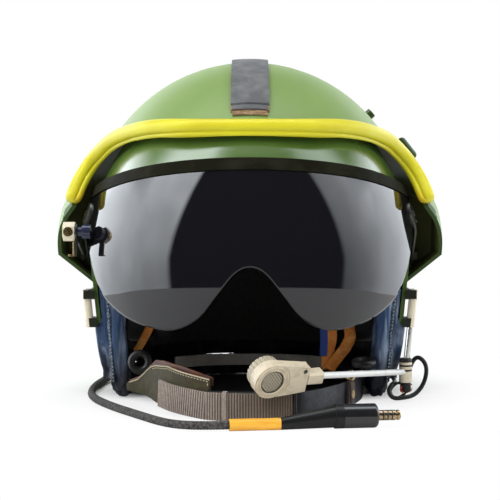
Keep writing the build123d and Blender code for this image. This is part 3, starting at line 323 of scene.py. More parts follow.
def dark_inside(name, coat):
    """Gives the faces of a shell that look inward a coat of their own; on the outer shell that coat is
    painted shade.
    """
    piece = nodes[name]
    piece.data.materials.append(coat)
    for face in piece.data.polygons:
        out = Vector(face.center) - place(0, axis_y, axis_z)
        out.z = max(out.z, 0.0)
        if face.normal.dot(out.normalized()) < -0.15:
            face.material_index = 1


dress("outer_shell", shell_green, edge=0.5)
dark_inside("outer_shell", inside_dark)
hood_green = green_paint("hood_green", (0.178, 0.266, 0.086), (0.130, 0.208, 0.058), gloss=0.38, shine=0.22)


# Energy liner and pads: pressed foam glued inside the shell, with leather-covered foam pads over the
# crown, brow and nape. The leather is stretched over the foam, so each pad is puffed at its middle.
foam = Finish("foam_dark")
beads = foam.cells(260.0)
foam.done(colour=foam.blend(beads * 2.0, (0.012, 0.012, 0.012), (0.03, 0.03, 0.028)), rough=0.9,
          normal=foam.relief(beads, 0.4, 0.5))
dress("energy_liner", foam.owner, edge=0.8)


def leather(name, colour, worn_and_lit, rough=0.55, crease=1.0, scale=700.0, stretch=(1, 1, 1), table_shade=0.0,
            bare=0.52):
    """Grained leather: fine pebbles, creases, paler wear (on the rolls also a painted highlight along the
    folds), and painted shade, black, where it lies on the table.
    """
    hide = Finish(name)
    pebbles = hide.cells(scale, "SMOOTH_F1")
    folds = hide.grain(60.0, 6.0, 0.6, stretch=stretch)
    wear_and_sheen = hide.level(folds, bare, bare + 0.2)
    patches = hide.level(hide.grain(22.0), 0.35, 0.65)
    tone = hide.blend(patches, colour, tuple(0.72 * c for c in colour))
    tone = hide.blend(wear_and_sheen * 0.85, tone, worn_and_lit)
    # Painted shade: the leather darkens to near black towards the table.
    low = hide.level(hide.part_of("Z") + hide.grain(60.0) * 0.03, 0.034, 0.058, table_shade, 0.0)
    tone = hide.blend(low, tone, (0.012, 0.012, 0.014))
    broad = hide.relief(folds, 1.1 * crease, 0.6)
    gloss = hide.level(folds, 0.3, 0.7, rough - 0.10, rough + 0.12)
    return hide.done(colour=tone, specular=0.25, rough=gloss, normal=hide.relief(pebbles, 0.14, 0.5, broad))


def puffed(node, name, material, cap, shrink, voxel=5.0):
    """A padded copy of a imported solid, swelled by a cloth simulation that is then applied. It starts
    smaller by shrink, and no point moves further than cap."""
    mesh = nodes[node].data.copy()
    mesh.name = name
    bm = bmesh.new()
    bm.from_mesh(mesh)
    bmesh.ops.remove_doubles(bm, verts=bm.verts, dist=0.00002)
    bm.normal_update()
    for vertex in bm.verts:
        vertex.co -= vertex.normal * shrink * MM
    bm.to_mesh(mesh)
    bm.free()
    piece = bpy.data.objects.new(name, mesh)
    bpy.context.scene.collection.objects.link(piece)
    remesh = piece.modifiers.new("remesh", "REMESH")
    remesh.mode = "VOXEL"
    remesh.voxel_size = voxel * MM
    bake_down(piece)
    start = [vertex.co.copy() for vertex in piece.data.vertices]
    cloth = piece.modifiers.new("cloth", "CLOTH")
    cloth.settings.use_pressure = True
    cloth.settings.uniform_pressure_force = 4.0
    cloth.settings.effector_weights.gravity = 0.0
    for step in range(1, 21):
        bpy.context.scene.frame_set(step)
    bake_down(piece)
    bpy.context.scene.frame_set(1)
    for vertex, before in zip(piece.data.vertices, start):
        moved = vertex.co - before
        if moved.length > cap * MM:
            vertex.co = before + moved.normalized() * cap * MM
    finer = piece.modifiers.new("finer", "SUBSURF")
    finer.levels = 1
    finer.render_levels = 1
    piece.data.materials.clear()
    piece.data.materials.append(material)
    for face in piece.data.polygons:
        face.use_smooth = True
        face.material_index = 0
    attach(piece, "helmet")
    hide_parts(node)
    return piece


def bake_down(piece):
    """Puts what the modifiers make into the mesh, and takes them off."""
    graph = bpy.context.evaluated_depsgraph_get()
    mesh = bpy.data.meshes.new_from_object(piece.evaluated_get(graph))
    piece.modifiers.clear()
    piece.data = mesh


pad_leather = leather("pad_leather", (0.028, 0.024, 0.022), (0.07, 0.06, 0.055))
puffed("crown_pad", "crown_cushion", pad_leather, cap=3.0, shrink=1.5)
puffed("brow_pad", "brow_cushion", pad_leather, cap=2.5, shrink=1.2)
puffed("rear_pad", "nape_cushion", pad_leather, cap=3.0, shrink=1.5)


# Ear cups: moulded cups with a leather-covered ring that seals round the ear, an earphone inside and
# webbing hangers up to the liner.

def two_toned(name, first, second, grain, cut=None, share=1.0, rough=0.5, dimples=None, **rest):
    """A finish in two tones. Its noise is (scale, detail, roughness), and a cut sharpens that into marks
    such as soil or tarnish, which may change the gloss. Dimples are (scale, depth, strength)."""
    coat = Finish(name)
    marks = coat.grain(*grain)
    if cut:
        marks = coat.level(marks, *cut)
    if isinstance(rough, tuple):
        rough = coat.level(marks, 0.0, 1.0, *rough)
    if dimples:
        rest["normal"] = coat.relief(coat.grain(dimples[0]), *dimples[1:])
    return coat.done(colour=coat.blend(marks * share, first, second), rough=rough, **rest)


cup_plastic = two_toned("cup_plastic", (0.014, 0.014, 0.014), (0.025, 0.025, 0.024), grain=(30.0,),
                        rough=0.45, dimples=(900.0, 0.06, 0.4))
dress("ear_cups", cup_plastic, edge=0.6)
dress("earphones", cup_plastic, edge=0.5)
seal_leather = leather("seal_leather", (0.020, 0.019, 0.018), (0.05, 0.048, 0.045), rough=0.42, crease=0.5)
puffed("ear_seals", "ear_cushions", seal_leather, cap=1.5, shrink=0.9, voxel=4.0)


def webbing(name, colour, dark, rib, stained=0.0):
    """Woven tape in plain colour, with fine yarns, and stained brown toward its end at +X."""
    cloth = Finish(name)
    yarns = cloth.grain(1500.0, 2.0, stretch=(1, 1, 0.35))
    soil = cloth.level(cloth.grain(26.0, 5.0), 0.45, 0.72)
    tone = cloth.blend(cloth.level(yarns, 0.3, 0.7), dark, colour)
    tone = cloth.blend(soil * 0.5, tone, tuple(0.55 * c for c in dark))
    stain = cloth.level(cloth.part_of("X") + cloth.grain(30.0) * 0.03, -0.030, 0.045, 0.0, stained)
    tone = cloth.blend(stain, tone, (0.075, 0.050, 0.026))
    return cloth.done(colour=tone, rough=0.85, sheen=0.15, normal=cloth.relief(yarns, 0.12 * rib, 0.7))


def build(name, points, faces, material, body, smooth=True):
    """A modelled piece from points of the drawing, riding on a body of the part."""
    mesh = bpy.data.meshes.new(name)
    mesh.from_pydata([place(*p) for p in points], [], faces)
    mesh.validate()
    bm = bmesh.new()
    bm.from_mesh(mesh)
    bmesh.ops.recalc_face_normals(bm, faces=bm.faces)
    bm.to_mesh(mesh)
    bm.free()
    for face in mesh.polygons:
        face.use_smooth = smooth
    piece = bpy.data.objects.new(name, mesh)
    bpy.context.scene.collection.objects.link(piece)
    mesh.materials.append(material)
    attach(piece, body)
    return piece


def smooth_line(points, step):
    """Points about a step apart on a smooth line through given points."""
    knots = [Vector(p) for p in points]
    knots = [2 * knots[0] - knots[1]] + knots + [2 * knots[-1] - knots[-2]]
    line = []
    for a, b, c, d in zip(knots, knots[1:], knots[2:], knots[3:]):
        count = max(2, round((c - b).length / step))
        for index in range(count):
            t = index / count
            line.append(0.5 * (2 * b + (c - a) * t + (2 * a - 5 * b + 4 * c - d) * t ** 2
                               + (3 * b - a - 3 * c + d) * t ** 3))
    line.append(knots[-2])
    return line


def swept(line, profile, up=(0, 0, 1), closed=False):
    """Points and faces of an outline carried along a line. The outline gives (across, up) at each place,
    and up is a direction or a function of the place's number."""
    points, faces = [], []
    count = len(line)
    for index, here in enumerate(line):
        ahead = line[(index + 1) % count] if closed or index < count - 1 else here
        behind = line[index - 1] if closed or index else here
        along = (ahead - behind).normalized()
        top = Vector(up(index)) if callable(up) else Vector(up)
        across = along.cross(top).normalized()
        top = across.cross(along)
        outline = profile(index) if callable(profile) else profile
        points += [here + across * u + top * v for u, v in outline]
    ring = len(outline)
    for index in range(count if closed else count - 1):
        low, high = index * ring, (index + 1) % count * ring
        for side in range(ring):
            faces.append((low + side, low + (side + 1) % ring, high + (side + 1) % ring, high + side))
    if not closed:
        faces.append(tuple(range(ring))[::-1])
        faces.append(tuple((count - 1) * ring + side for side in range(ring)))
    return points, faces


def slab_outline(width, height, corner):
    """A flat band's section, with rounded corners."""
    half_width, half_height = width / 2 - corner, height / 2 - corner
    outline = []
    for quarter in range(4):
        centre = (half_width if quarter in (0, 3) else -half_width,
                  half_height if quarter in (0, 1) else -half_height)
        for part in range(4):
            turn = math.pi / 2 * (quarter + part / 3)
            outline.append((centre[0] + corner * math.cos(turn), centre[1] + corner * math.sin(turn)))
    return outline


def fitted(name, shape, material, node):
    """A modelled piece, from its points and faces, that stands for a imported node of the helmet."""
    piece = build(name, *shape, material, "helmet")
    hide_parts(node)
    return piece


hanger_webbing = webbing("hanger_webbing", (0.09, 0.07, 0.045), (0.05, 0.04, 0.025), rib=1.0)
hanger_route = [(88.0, 106.5), (90.5, 112.0), (97.0, 119.0), (103.5, 125.0)]
for side, name in ((-1, "ear_hanger_left"), (1, "ear_hanger_right")):
    line = smooth_line([(side * x, 22.0, z) for x, z in hanger_route], 1.0)
    fitted(name, swept(line, slab_outline(24.0, 2.6, 0.8), (side, 0, 0)), hanger_webbing, "ear_hangers")


# Hood: a second skin over the crown that flares out into two wings, under which the visor slides up.
# It is moulded and painted like the shell, and stands on four spacers with slotted screws at the back.
dress("visor_cover", hood_green, edge=0.7)
dark_inside("visor_cover", green_paint("wing_inside", (0.22, 0.25, 0.085), (0.12, 0.125, 0.05), gloss=0.50,
                                       shine=0.2))
hood_skin = nodes["visor_cover"]
# The wings' forward-facing rim gets a darker copy of the hood's green: painted shade on the rim.
hood_skin.data.materials.append(
    green_paint("wing_edge", (0.040, 0.075, 0.018), (0.026, 0.050, 0.012), gloss=0.50, shine=0.15))
wing_start, wing_top = 0.108, 0.21
for face in hood_skin.data.polygons:
    on_wing = abs(face.center.x) > wing_start and face.center.z < wing_top
    if on_wing and face.normal.y < -0.4 and face.material_index == 0:
        face.material_index = 2
fitting_green = green_paint("fitting_green", (0.035, 0.062, 0.016), (0.022, 0.042, 0.010), gloss=0.3,
                            shine=0.4)
dress("cover_fittings", fitting_green, edge=0.8)
dark_metal = two_toned("dark_metal", (0.03, 0.035, 0.03), (0.20, 0.19, 0.16), grain=(160.0, 6.0, 0.7),
                       cut=(0.56, 0.66), metal=0.6, rough=(0.5, 0.3))
dress("cover_spacers", dark_metal, edge=0.3)
dress("cover_screws", dark_metal, edge=0.2)
dress("wing_lugs", two_toned("lug_plastic", (0.20, 0.22, 0.17), (0.42, 0.42, 0.36), grain=(180.0, 5.0)),
      edge=0.5)


# Crown strip: a grey grained strip glued along the crown over a layered brown backing, whose cut front
# edge shows where both bend down over the hood. The grey is rubbed pale in specks.
strip_grey = Finish("strip_grey")
specks = strip_grey.level(strip_grey.grain(900.0, 4.0, 0.8), 0.60, 0.72)
patches = strip_grey.level(strip_grey.grain(70.0, 6.0, 0.7), 0.40, 0.66)
tone = strip_grey.blend(patches, (0.060, 0.062, 0.066), (0.115, 0.115, 0.118))
strip_grey.done(colour=strip_grey.blend(specks * 0.7, tone, (0.22, 0.22, 0.22)), rough=0.72,
                normal=strip_grey.relief(strip_grey.grain(700.0, 4.0, 0.7), 0.2, 0.6))
dress("crown_strip", strip_grey.owner, edge=0.5)
backing_brown = Finish("backing_brown")
layers = backing_brown.grain(600.0, 5.0, 0.7, stretch=(0.2, 0.2, 1.6))
tone = backing_brown.steps(layers, (0.30, (0.035, 0.018, 0.010)), (0.50, (0.20, 0.12, 0.06)),
                           (0.68, (0.46, 0.34, 0.20)))
backing_brown.done(colour=tone, rough=0.8, normal=backing_brown.relief(layers, 0.4, 0.8))
dress("crown_strip_backing", backing_brown.owner, edge=0.3)


def in_drawing(at):
    """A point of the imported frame, in the drawing's millimetres."""
    return Vector((at.x / MM, at.y / MM - moved_y, at.z / MM))


def lofted(sheets):
    """Points and faces of a sheet with two sides, from rows that each run along one side and then along
    the other. Its two ends stay open, and the ring is the first one's corners."""
    width = len(sheets[0]) // 2
    ring = list(range(width)) + list(range(2 * width - 1, width - 1, -1))
    faces = []
    for row in range(len(sheets) - 1):
        low, high = 2 * width * row, 2 * width * (row + 1)
        for a, b in zip(ring, ring[1:] + ring[:1]):
            faces.append((low + a, low + b, high + b, high + a))
    return [point for sheet in sheets for point in sheet], faces, ring


def strip_nose(name, material, low, high, reach):
    """The strip's front end, bent down over the hood's skin between two heights above it."""
    sheets = []
    for row in range(8):
        y = strip_front + strip_overlap - (reach + strip_overlap) * row / 7
        sheet = []
        for lift in (low, high):
            for column in range(9):
                above = place(strip_width * (column / 8 - 0.5), y, 320)
                hit, where, normal, face = hood_skin.ray_cast(above, Vector((0, 0, -1)))
                sheet.append(in_drawing(where + normal * lift * MM))
        sheets.append(sheet)
    points, faces, ring = lofted(sheets)
    faces += [tuple(ring), tuple(len(points) - len(ring) + corner for corner in ring)]
    build(name, points, faces, material, "helmet", False)


strip_width, strip_overlap = 25.0, 0.3
strip_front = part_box("crown_strip")[0].y / MM - moved_y
strip_nose("crown_strip_nose", strip_grey.owner, low=1.55, high=2.95, reach=2.6)
strip_nose("crown_backing_nose", backing_brown.owner, low=0.1, high=1.55, reach=5.6)


# The visor's skin turns about a line through the helmet's sides. Beside that line its face is three
# tangent arcs, and the hood over it leaves them in a straight flare that ends in a bulge.
crown_rise, crown_radius, crown_turn = 27.0, 121.5, 51.45
temple_radius, temple_turn, cheek_radius = 210.0, 68.1, 35.0
flare_length, flare_round = 69.96, 30.0


def fan_point(centre, radius, turn):
    """A point at a radius from a centre, turned from straight ahead."""
    angle = math.radians(turn)
    return (centre[0] + radius * math.sin(angle), centre[1] + radius * math.cos(angle))


crown_centre = (0, crown_rise)
temple_centre = fan_point(crown_centre, crown_radius - temple_radius, crown_turn)
cheek_centre = fan_point(temple_centre, temple_radius - cheek_radius, temple_turn)


def skin_point(turn, rise, grow):
    """A point of the visor's skin: its turn beside the crown, and its angle up from straight ahead."""
    lean = abs(turn)
    if lean < crown_turn:
        x, reach = fan_point(crown_centre, crown_radius + grow, lean)
    elif lean < temple_turn:
        x, reach = fan_point(temple_centre, temple_radius + grow, lean)
    else:
        x, reach = fan_point(cheek_centre, cheek_radius + grow, lean)
    return (math.copysign(x, turn), axis_y - reach * math.cos(rise), axis_z + reach * math.sin(rise))


def hood_reach(x, grow):
    """How far the hood's skin is from the turning line, at a distance from the middle."""
    start = fan_point(crown_centre, crown_radius + grow, crown_turn)
    flare_start = fan_point(crown_centre, crown_radius, crown_turn)
    slope = math.radians(crown_turn)
    flare_end = (flare_start[0] + flare_length * math.cos(slope),
                 flare_start[1] - flare_length * math.sin(slope))
    wing_centre = fan_point(flare_end, -flare_round, crown_turn)
    bulge = fan_point(wing_centre, flare_round + grow, crown_turn)
    if x < start[0]:
        return crown_rise + math.sqrt((crown_radius + grow) ** 2 - x ** 2)
    if x < bulge[0]:
        return start[1] - (x - start[0]) * math.tan(slope)
    return wing_centre[1] + math.sqrt((flare_round + grow) ** 2 - (x - wing_centre[0]) ** 2)


def rounded_line(corners, step):
    """Points along straight runs whose corners are rounded as far as the middle of each run."""
    corners = [Vector(c) for c in corners]
    line = [corners[0]]
    middles = [(a + b) / 2 for a, b in zip(corners, corners[1:])]
    for start, corner, end in zip(middles, corners[1:], middles[1:]):
        count = max(3, round(((corner - start).length + (end - corner).length) / step))
        line += [start * (1 - t) ** 2 + corner * 2 * t * (1 - t) + end * t ** 2
                 for t in (k / count for k in range(count + 1))]
    line.append(corners[-1])
    kept = [line[0]]
    for point in line[1:]:
        if (point - kept[-1]).length > 0.3 * step:
            kept.append(point)
    return kept


# Edge trim: a yellow rubber moulding pushed over the hood's front edge from wing tip to wing tip, with a
# groove at its lower third and a lip that tucks under. It is scuffed, and painted orange low at its ends as
# shade where they fold in.
trim_shares = (0.28, 0.54, 0.75, 0.857, 0.916, 0.967, 1.0)
trim_turns = (40.0, 48.0, 63.0, 72.0, 71.0, 61.0, 44.0)
trim_reach_x, trim_grow = 137.56, 7.0
trim_half = []
for share, turn in zip(trim_shares, trim_turns):
    x = trim_reach_x * share
    reach = hood_reach(x, trim_grow)
    trim_half.append((x, axis_y - reach * math.cos(math.radians(turn)),
                      axis_z + reach * math.sin(math.radians(turn))))
trim_line = rounded_line([(-x, y, z) for x, y, z in reversed(trim_half)] + trim_half, 3.0)
trim_section = [(-4.5, 5.4), (-1.0, 6.9), (2.6, 6.5), (5.4, 4.3), (6.5, 1.2), (6.2, -1.2), (5.0, -2.3),
                (4.6, -2.7), (5.0, -3.1), (5.7, -4.2), (5.0, -6.0), (2.8, -7.1), (-0.5, -7.2), (-4.5, -5.6),
                (-5.6, 0.0)]


def outward(index):
    """The way that the trim's section points, at one place of its line."""
    here = trim_line[index]
    return (here.x, 0.0, here.z - axis_z)


yellow = Finish("trim_yellow")
cast = yellow.level(yellow.grain(30.0, 4.0), 0.35, 0.70)
specks = yellow.level(yellow.grain(500.0, 3.0, 0.7), 0.70, 0.75)
tone = yellow.blend(cast, (0.56, 0.52, 0.014), (0.50, 0.44, 0.010))
far_out = yellow.node("ShaderNodeMath", {"operation": "ABSOLUTE"}, in0=yellow.part_of("X"))
# Painted shade: low near each end, where the trim folds in, the yellow turns orange.
end_shade = yellow.level(yellow.part_of("Z"), 0.150, 0.166, 1.0, 0.0) * yellow.level(far_out, 0.138, 0.128)
tone = yellow.blend(end_shade * 0.8, tone, (0.60, 0.26, 0.012))
yellow.done(colour=yellow.blend(specks * 0.35, tone, (0.45, 0.36, 0.05)),
            rough=yellow.level(cast, 0.0, 1.0, 0.38, 0.48), specular=0.35,
            normal=yellow.relief(yellow.grain(300.0), 0.12, 0.3))
points, faces = swept(trim_line, trim_section, outward)
visor_room, wing_reach = 1.2, 137.0
for point in points:
    reach = math.hypot(point.y - axis_y, point.z - axis_z)
    clear_of_visor = hood_reach(min(abs(point.x), wing_reach), visor_room)
    if reach < clear_of_visor:
        point.y = axis_y + (point.y - axis_y) * clear_of_visor / reach
        point.z = axis_z + (point.z - axis_z) * clear_of_visor / reach
trim = fitted("edge_trim", (points, faces), yellow.owner, "cover_edge_trim")
softer = trim.modifiers.new("softer", "SUBSURF")
softer.levels = softer.render_levels = 1


# Visor: a moulded sheet of smoke-tinted plastic with a nose notch between two lobes, polished at its cut
# edge, which is painted pale grey as a highlight. A black rubber rim is pressed over its top edge, and two
# steel arms are screwed to its sides.
outline_widths = (0.0, 0.085, 0.185, 0.30, 0.45, 0.66, 0.82, 0.895, 0.945, 0.985)
outline_heights = (1.0, 0.90, 0.56, 0.17, 0.0, 0.10, 0.36, 0.66, 1.05, 1.55)
lobe_foot, nose_top, half_width = 62.5, 108.5, 128.0
right_outline = [(half_width * w, 0, lobe_foot + (nose_top - lobe_foot) * h)
                 for w, h in zip(outline_widths, outline_heights)] + [(half_width, 0, 150.0)]
left_start = [(-x, y, z) for x, y, z in reversed(right_outline[1:4])]
outline = [p for p in smooth_line(left_start + right_outline, 0.5) if p.x >= 0]


def lens_foot(x):
    """Height of the visor's lower edge at a distance from the middle."""
    x = abs(x)
    for a, b in zip(outline, outline[1:]):
        if a.x <= x <= b.x:
            return a.z + (b.z - a.z) * (x - a.x) / max(b.x - a.x, 0.001)
    return outline[-1].z if x > outline[0].x else outline[0].z


def bisect(low, high, wanted):
    """Where a test stops being true, between an end where it holds and one where it doesn't."""
    for _ in range(30):
        middle = (low + high) / 2
        if wanted(middle):
            low = middle
        else:
            high = middle
    return low


rim_front_y, rim_front_z, rim_slope, rim_overlap = -127.0, 186.0, math.radians(11.2), 0.9


def under_rim(point):
    """Whether a point of the visor's skin is below the rim and in front of the visor's back edge."""
    rim_foot = rim_front_z - (point[1] - rim_front_y) * math.tan(rim_slope) - rim_overlap
    return point[2] < rim_foot and point[1] < lens_back


def lens_span(turn):
    """Lowest and highest angle of the visor at a turn beside the crown."""
    def over_foot(rise):
        x, y, z = skin_point(turn, rise, 0)
        return z > lens_foot(x)
    low = bisect(0.9, -0.9, over_foot)
    return low, bisect(low, 1.5, lambda rise: under_rim(skin_point(turn, rise, 0)))


def has_height(turn):
    """Whether the visor still has some height at a turn beside the crown."""
    low, high = lens_span(turn)
    return high - low > 0.02


last_turn = bisect(60.0, 89.5, has_height)
columns, rows = 260, 64
lens_wall = 2.6
points, faces, edge_faces = [], [], []
for grow in (0.0, -lens_wall):
    for column in range(columns + 1):
        turn = last_turn * math.sin(math.pi / 2 * (2 * column / columns - 1))
        low, high = lens_span(turn)
        points += [skin_point(turn, low + (high - low) * row / rows, grow) for row in range(rows + 1)]
inner = (columns + 1) * (rows + 1)
for column in range(columns):
    for row in range(rows):
        a = column * (rows + 1) + row
        b = a + rows + 1
        faces += [(a, b, b + 1, a + 1), (inner + a + 1, inner + b + 1, inner + b, inner + a)]
    for a in (column * (rows + 1), column * (rows + 1) + rows):
        edge_faces.append((a, a + rows + 1, inner + a + rows + 1, inner + a))
for start in (0, columns * (rows + 1)):
    for a in range(start, start + rows):
        edge_faces.append((a, a + 1, inner + a + 1, inner + a))

smoke = Finish("visor_smoke")
streaks = smoke.level(smoke.grain(60.0, 6.0, 0.7, stretch=(1, 1, 0.35)), 0.55, 0.80)
dust = smoke.level(smoke.grain(1400.0, 2.0), 0.74, 0.78)
smoke.done(colour=smoke.blend(dust * 0.5, (0.006, 0.006, 0.008), (0.05, 0.05, 0.05)), specular=0.5,
           rough=smoke.level(streaks, 0.0, 1.0, 0.035, 0.06), alpha=0.97)
# Painted highlight: the polished cut edge is a pale grey.
polished_edge_highlight = Finish("visor_cut_edge")
polished_edge_highlight.done(colour=(0.16, 0.16, 0.17), rough=polished_edge_highlight.level(polished_edge_highlight.grain(300.0), 0.3, 0.7, 0.15, 0.3))
lens = build("visor_skin", points, faces + edge_faces, smoke.owner, "visor")
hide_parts("visor_lens")
lens.data.materials.append(polished_edge_highlight.owner)
edge_sets = {frozenset(face) for face in edge_faces}
for face in lens.data.polygons:
    if frozenset(face.vertices) in edge_sets:
        face.material_index = 1
        face.use_smooth = False
rim_rubber = two_toned("rim_rubber", (0.006, 0.006, 0.003), (0.016, 0.016, 0.010), grain=(45.0, 5.0),
                       cut=(0.45, 0.75), rough=0.6, dimples=(500.0, 0.05, 0.4), specular=0.02)
dress("visor_rim", rim_rubber, edge=0.25)
arm_steel = Finish("arm_steel")
brushing = arm_steel.grain(900.0, 3.0, stretch=(0.06, 1, 1))
arm_steel.done(colour=arm_steel.blend(brushing, (0.05, 0.05, 0.04), (0.12, 0.12, 0.10)), metal=0.8,
               rough=arm_steel.level(brushing, 0.3, 0.7, 0.35, 0.5))
for name in ("visor_arm_left", "visor_arm_right"):
    dress(name, arm_steel.owner, edge=0.3)
for name in ("visor_arm_screws", "visor_pivots", "pivot_nuts"):
    dress(name, arm_steel.owner, edge=0.25)


# Visor lock in the wearer's right-hand wing: a cream hexagon block on a dark bracket, with a brass screw
# and a knurled knob that is turned to clamp the visor. A brass clip and two rails lie beside it.
dress("lock_bracket", dark_metal, edge=0.3)
cream = two_toned("cream_moulding", (0.66, 0.60, 0.46), (0.42, 0.36, 0.25), grain=(55.0, 6.0, 0.7),
                  cut=(0.50, 0.72), share=0.7, rough=(0.34, 0.55), dimples=(500.0, 0.05, 0.3), coat=0.1)
dress("lock_block", cream, edge=0.6)
brass = two_toned("brass", (0.78, 0.58, 0.28), (0.30, 0.20, 0.09), grain=(240.0, 5.0, 0.7),
                  cut=(0.42, 0.70), metal=1.0, rough=(0.22, 0.45))
dress("lock_screw", brass, edge=0.25)
dress("lock_clip", brass, edge=0.3)
navy = two_toned("knob_navy", (0.010, 0.012, 0.035), (0.020, 0.024, 0.06), grain=(200.0,), rough=0.35)
dress("lock_knob", navy, edge=0.25)


# Side bars and the boom's post: a cream bar clamped beside each cheek. The bar at +X holds a bright tube
# that slides, with a domed cream barrel and two black rings under it where the boom turns. Three short
# wires come round the rubber base.
dress("side_bars", cream, edge=0.7)
dress("side_bar_clamps", inside_dark, edge=0.5)
silver = two_toned("tube_silver", (0.40, 0.40, 0.38), (0.62, 0.62, 0.60),
                   grain=(400.0, 3.0, 0.5, (1, 1, 0.1)), metal=1.0, rough=0.20)
dress("boom_post", silver, edge=0.2)
dress("boom_barrel", cream, edge=0.4)
black_rubber = two_toned("black_rubber", (0.010, 0.010, 0.010), (0.024, 0.023, 0.022), grain=(90.0, 5.0),
                         cut=(0.45, 0.70), rough=(0.36, 0.58), dimples=(600.0, 0.06, 0.4), specular=0.3)
dress("boom_rings", black_rubber)
dress("boom_base", black_rubber, edge=0.5)
black_route = [(121, -36, 12), (114, -39, 13.5), (108.5, -41, 8), (112, -42, 2.5), (119, -39, 5),
               (122, -36, 9)]
red_route = [(125.5, -35.5, 12), (120, -38, 12.5), (116.5, -39, 8.5), (120, -38.5, 6), (125.5, -35.5, 8)]
pale_route = [(126, -35.5, 9), (122, -38, 9.5), (118, -39.5, 5), (122, -38.5, 3.5), (126, -35.5, 5)]
red_wire = two_toned("wire_red", (0.30, 0.025, 0.02), (0.46, 0.05, 0.035), grain=(400.0,), rough=0.4)


def round_outline(radius, sides):
    """A round cord's section."""
    return [(radius * math.cos(2 * math.pi * k / sides), radius * math.sin(2 * math.pi * k / sides))
            for k in range(sides)]


for name, route, radius, material in (("base_wire_black", black_route, 1.1, black_rubber),
                                      ("base_wire_red", red_route, 0.7, red_wire),
                                      ("base_wire_pale", pale_route, 0.6, cream)):
    points, faces = swept(smooth_line(route, 0.8), round_outline(radius, 8))
    build(name, points, faces, material, "boom_post")
sleeve_white = two_toned("boom_sleeve_white", (0.66, 0.67, 0.66), (0.52, 0.50, 0.44), grain=(80.0, 5.0),
                         cut=(0.6, 0.9), rough=0.36)
dress("boom_arm", sleeve_white, edge=0.4)


# Microphone: a cream moulded housing with a round face, a seam round it and a tapered neck that turns on
# the connector at the end of the boom. A fine punched grille covers the face and a ribbed drum the back.
mic_cream = two_toned("mic_cream", (0.58, 0.51, 0.38), (0.32, 0.27, 0.18), grain=(120.0, 6.0, 0.7),
                      cut=(0.48, 0.70), share=0.75, rough=(0.36, 0.55), dimples=(700.0, 0.05, 0.4))
dress("mic_housing", mic_cream, edge=0.7)
dress("mic_connector", mic_cream, edge=0.5)
dress("mic_capsule", two_toned("drum_grey", (0.30, 0.265, 0.195), (0.42, 0.375, 0.28), grain=(150.0, 5.0)),
      edge=0.3)
mic_across = Vector((0.8829476, 0.4694716, 0.0))
mic_out = Vector((0.4254837, -0.8002253, -0.4226183))
grille_metal = Finish("grille_metal")
face_x = grille_metal.node("ShaderNodeVectorMath", {"operation": "DOT_PRODUCT"}, output=1,
                           in0=grille_metal.place(), in1=mic_across)
face_z = grille_metal.part_of("Z")
hole_pitch = 0.0023


def hole_share(across_face, up_face):
    """One inside the round holes of one square grid of them, and nothing between."""
    parts = []
    for value in (across_face, up_face):
        step = grille_metal.node("ShaderNodeMath", {"operation": "FRACT"}, in0=value) - 0.5
        parts.append(step * step)
    return grille_metal.level(parts[0] + parts[1], 0.050, 0.085, 1.0, 0.0)


columns_in, rows_in = (face_x + 1.0) * (1 / hole_pitch), face_z * (1 / hole_pitch)
holes = hole_share(columns_in, rows_in) + hole_share(columns_in + 0.5, rows_in + 0.5)
metal_tone = grille_metal.blend(grille_metal.grain(500.0), (0.42, 0.37, 0.27), (0.58, 0.52, 0.40))
grille_metal.done(colour=grille_metal.blend(holes, metal_tone, (0.020, 0.017, 0.012)), metal=0.2, rough=0.45,
                  normal=grille_metal.relief(1 - holes, 0.3, 0.8))
dress("mic_grille", grille_metal.owner)
dress("mic_screw", dark_metal, edge=0.2)
mic_low, mic_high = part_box("mic_grille")
mic_middle = (mic_low + mic_high) / 2 / MM
mic_middle.y -= moved_y
mic_up = mic_out.cross(mic_across)
for name, radius, thick, out, material in (("mic_face_ring", 9.3, 0.55, 1.1, mic_cream),
                                           ("mic_grille_gasket", 8.25, 0.35, 0.75, black_rubber),
                                           ("mic_rim_line", 11.9, 0.30, 1.5, mic_cream)):
    ring = [mic_middle + mic_out * out + mic_across * u + mic_up * v for u, v in round_outline(radius, 48)]
    points, faces = swept(ring, round_outline(thick, 8), mic_out, True)
    build(name, points, faces, material, "mic")


# Boom lead: a thin black cord from the foot of the post, in a loop up and over and one in front, that
# ends in a clip under the shell's edge.
lead_route = [
    (122.0, -31.65, 11.0), (124.0, -25.0, 11.6), (125.5, -24.5, 26.0), (131.0, -27.5, 34.0),
    (138.0, -32.0, 27.0), (136.0, -35.0, 14.0), (128.0, -40.0, 4.6), (118.5, -44.5, 3.0),
    (109.5, -45.5, 2.6), (106.2, -44.0, 8.5), (110.0, -41.0, 13.5), (114.1, -30.0, 13.8),
    (114.1, 8.0, 13.8),
]


def cord_curve(name, route, radius, material):
    """A round cord on one smooth curve whose control points are the route."""
    data = bpy.data.curves.new(name, "CURVE")
    data.dimensions = "3D"
    data.resolution_u = 24
    data.bevel_depth = radius * MM
    data.bevel_resolution = 5
    data.use_fill_caps = True
    spline = data.splines.new("NURBS")
    spline.points.add(len(route) - 1)
    for control, at in zip(spline.points, route):
        control.co = (*place(*at), 1.0)
    spline.order_u = 3
    spline.use_endpoint_u = True
    data.materials.append(material)
    piece = bpy.data.objects.new(name, data)
    bpy.context.scene.collection.objects.link(piece)
    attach(piece, "helmet")
    return piece


def curve_line(piece):
    """The points along a cord's own line, in metres."""
    bare = piece.data.copy()
    bare.bevel_depth = 0.0
    stand_in = bpy.data.objects.new("line", bare)
    bpy.context.scene.collection.objects.link(stand_in)
    mesh = bpy.data.meshes.new_from_object(stand_in.evaluated_get(bpy.context.evaluated_depsgraph_get()))
    line = [vertex.co.copy() for vertex in mesh.vertices]
    bpy.data.objects.remove(stand_in)
    return line


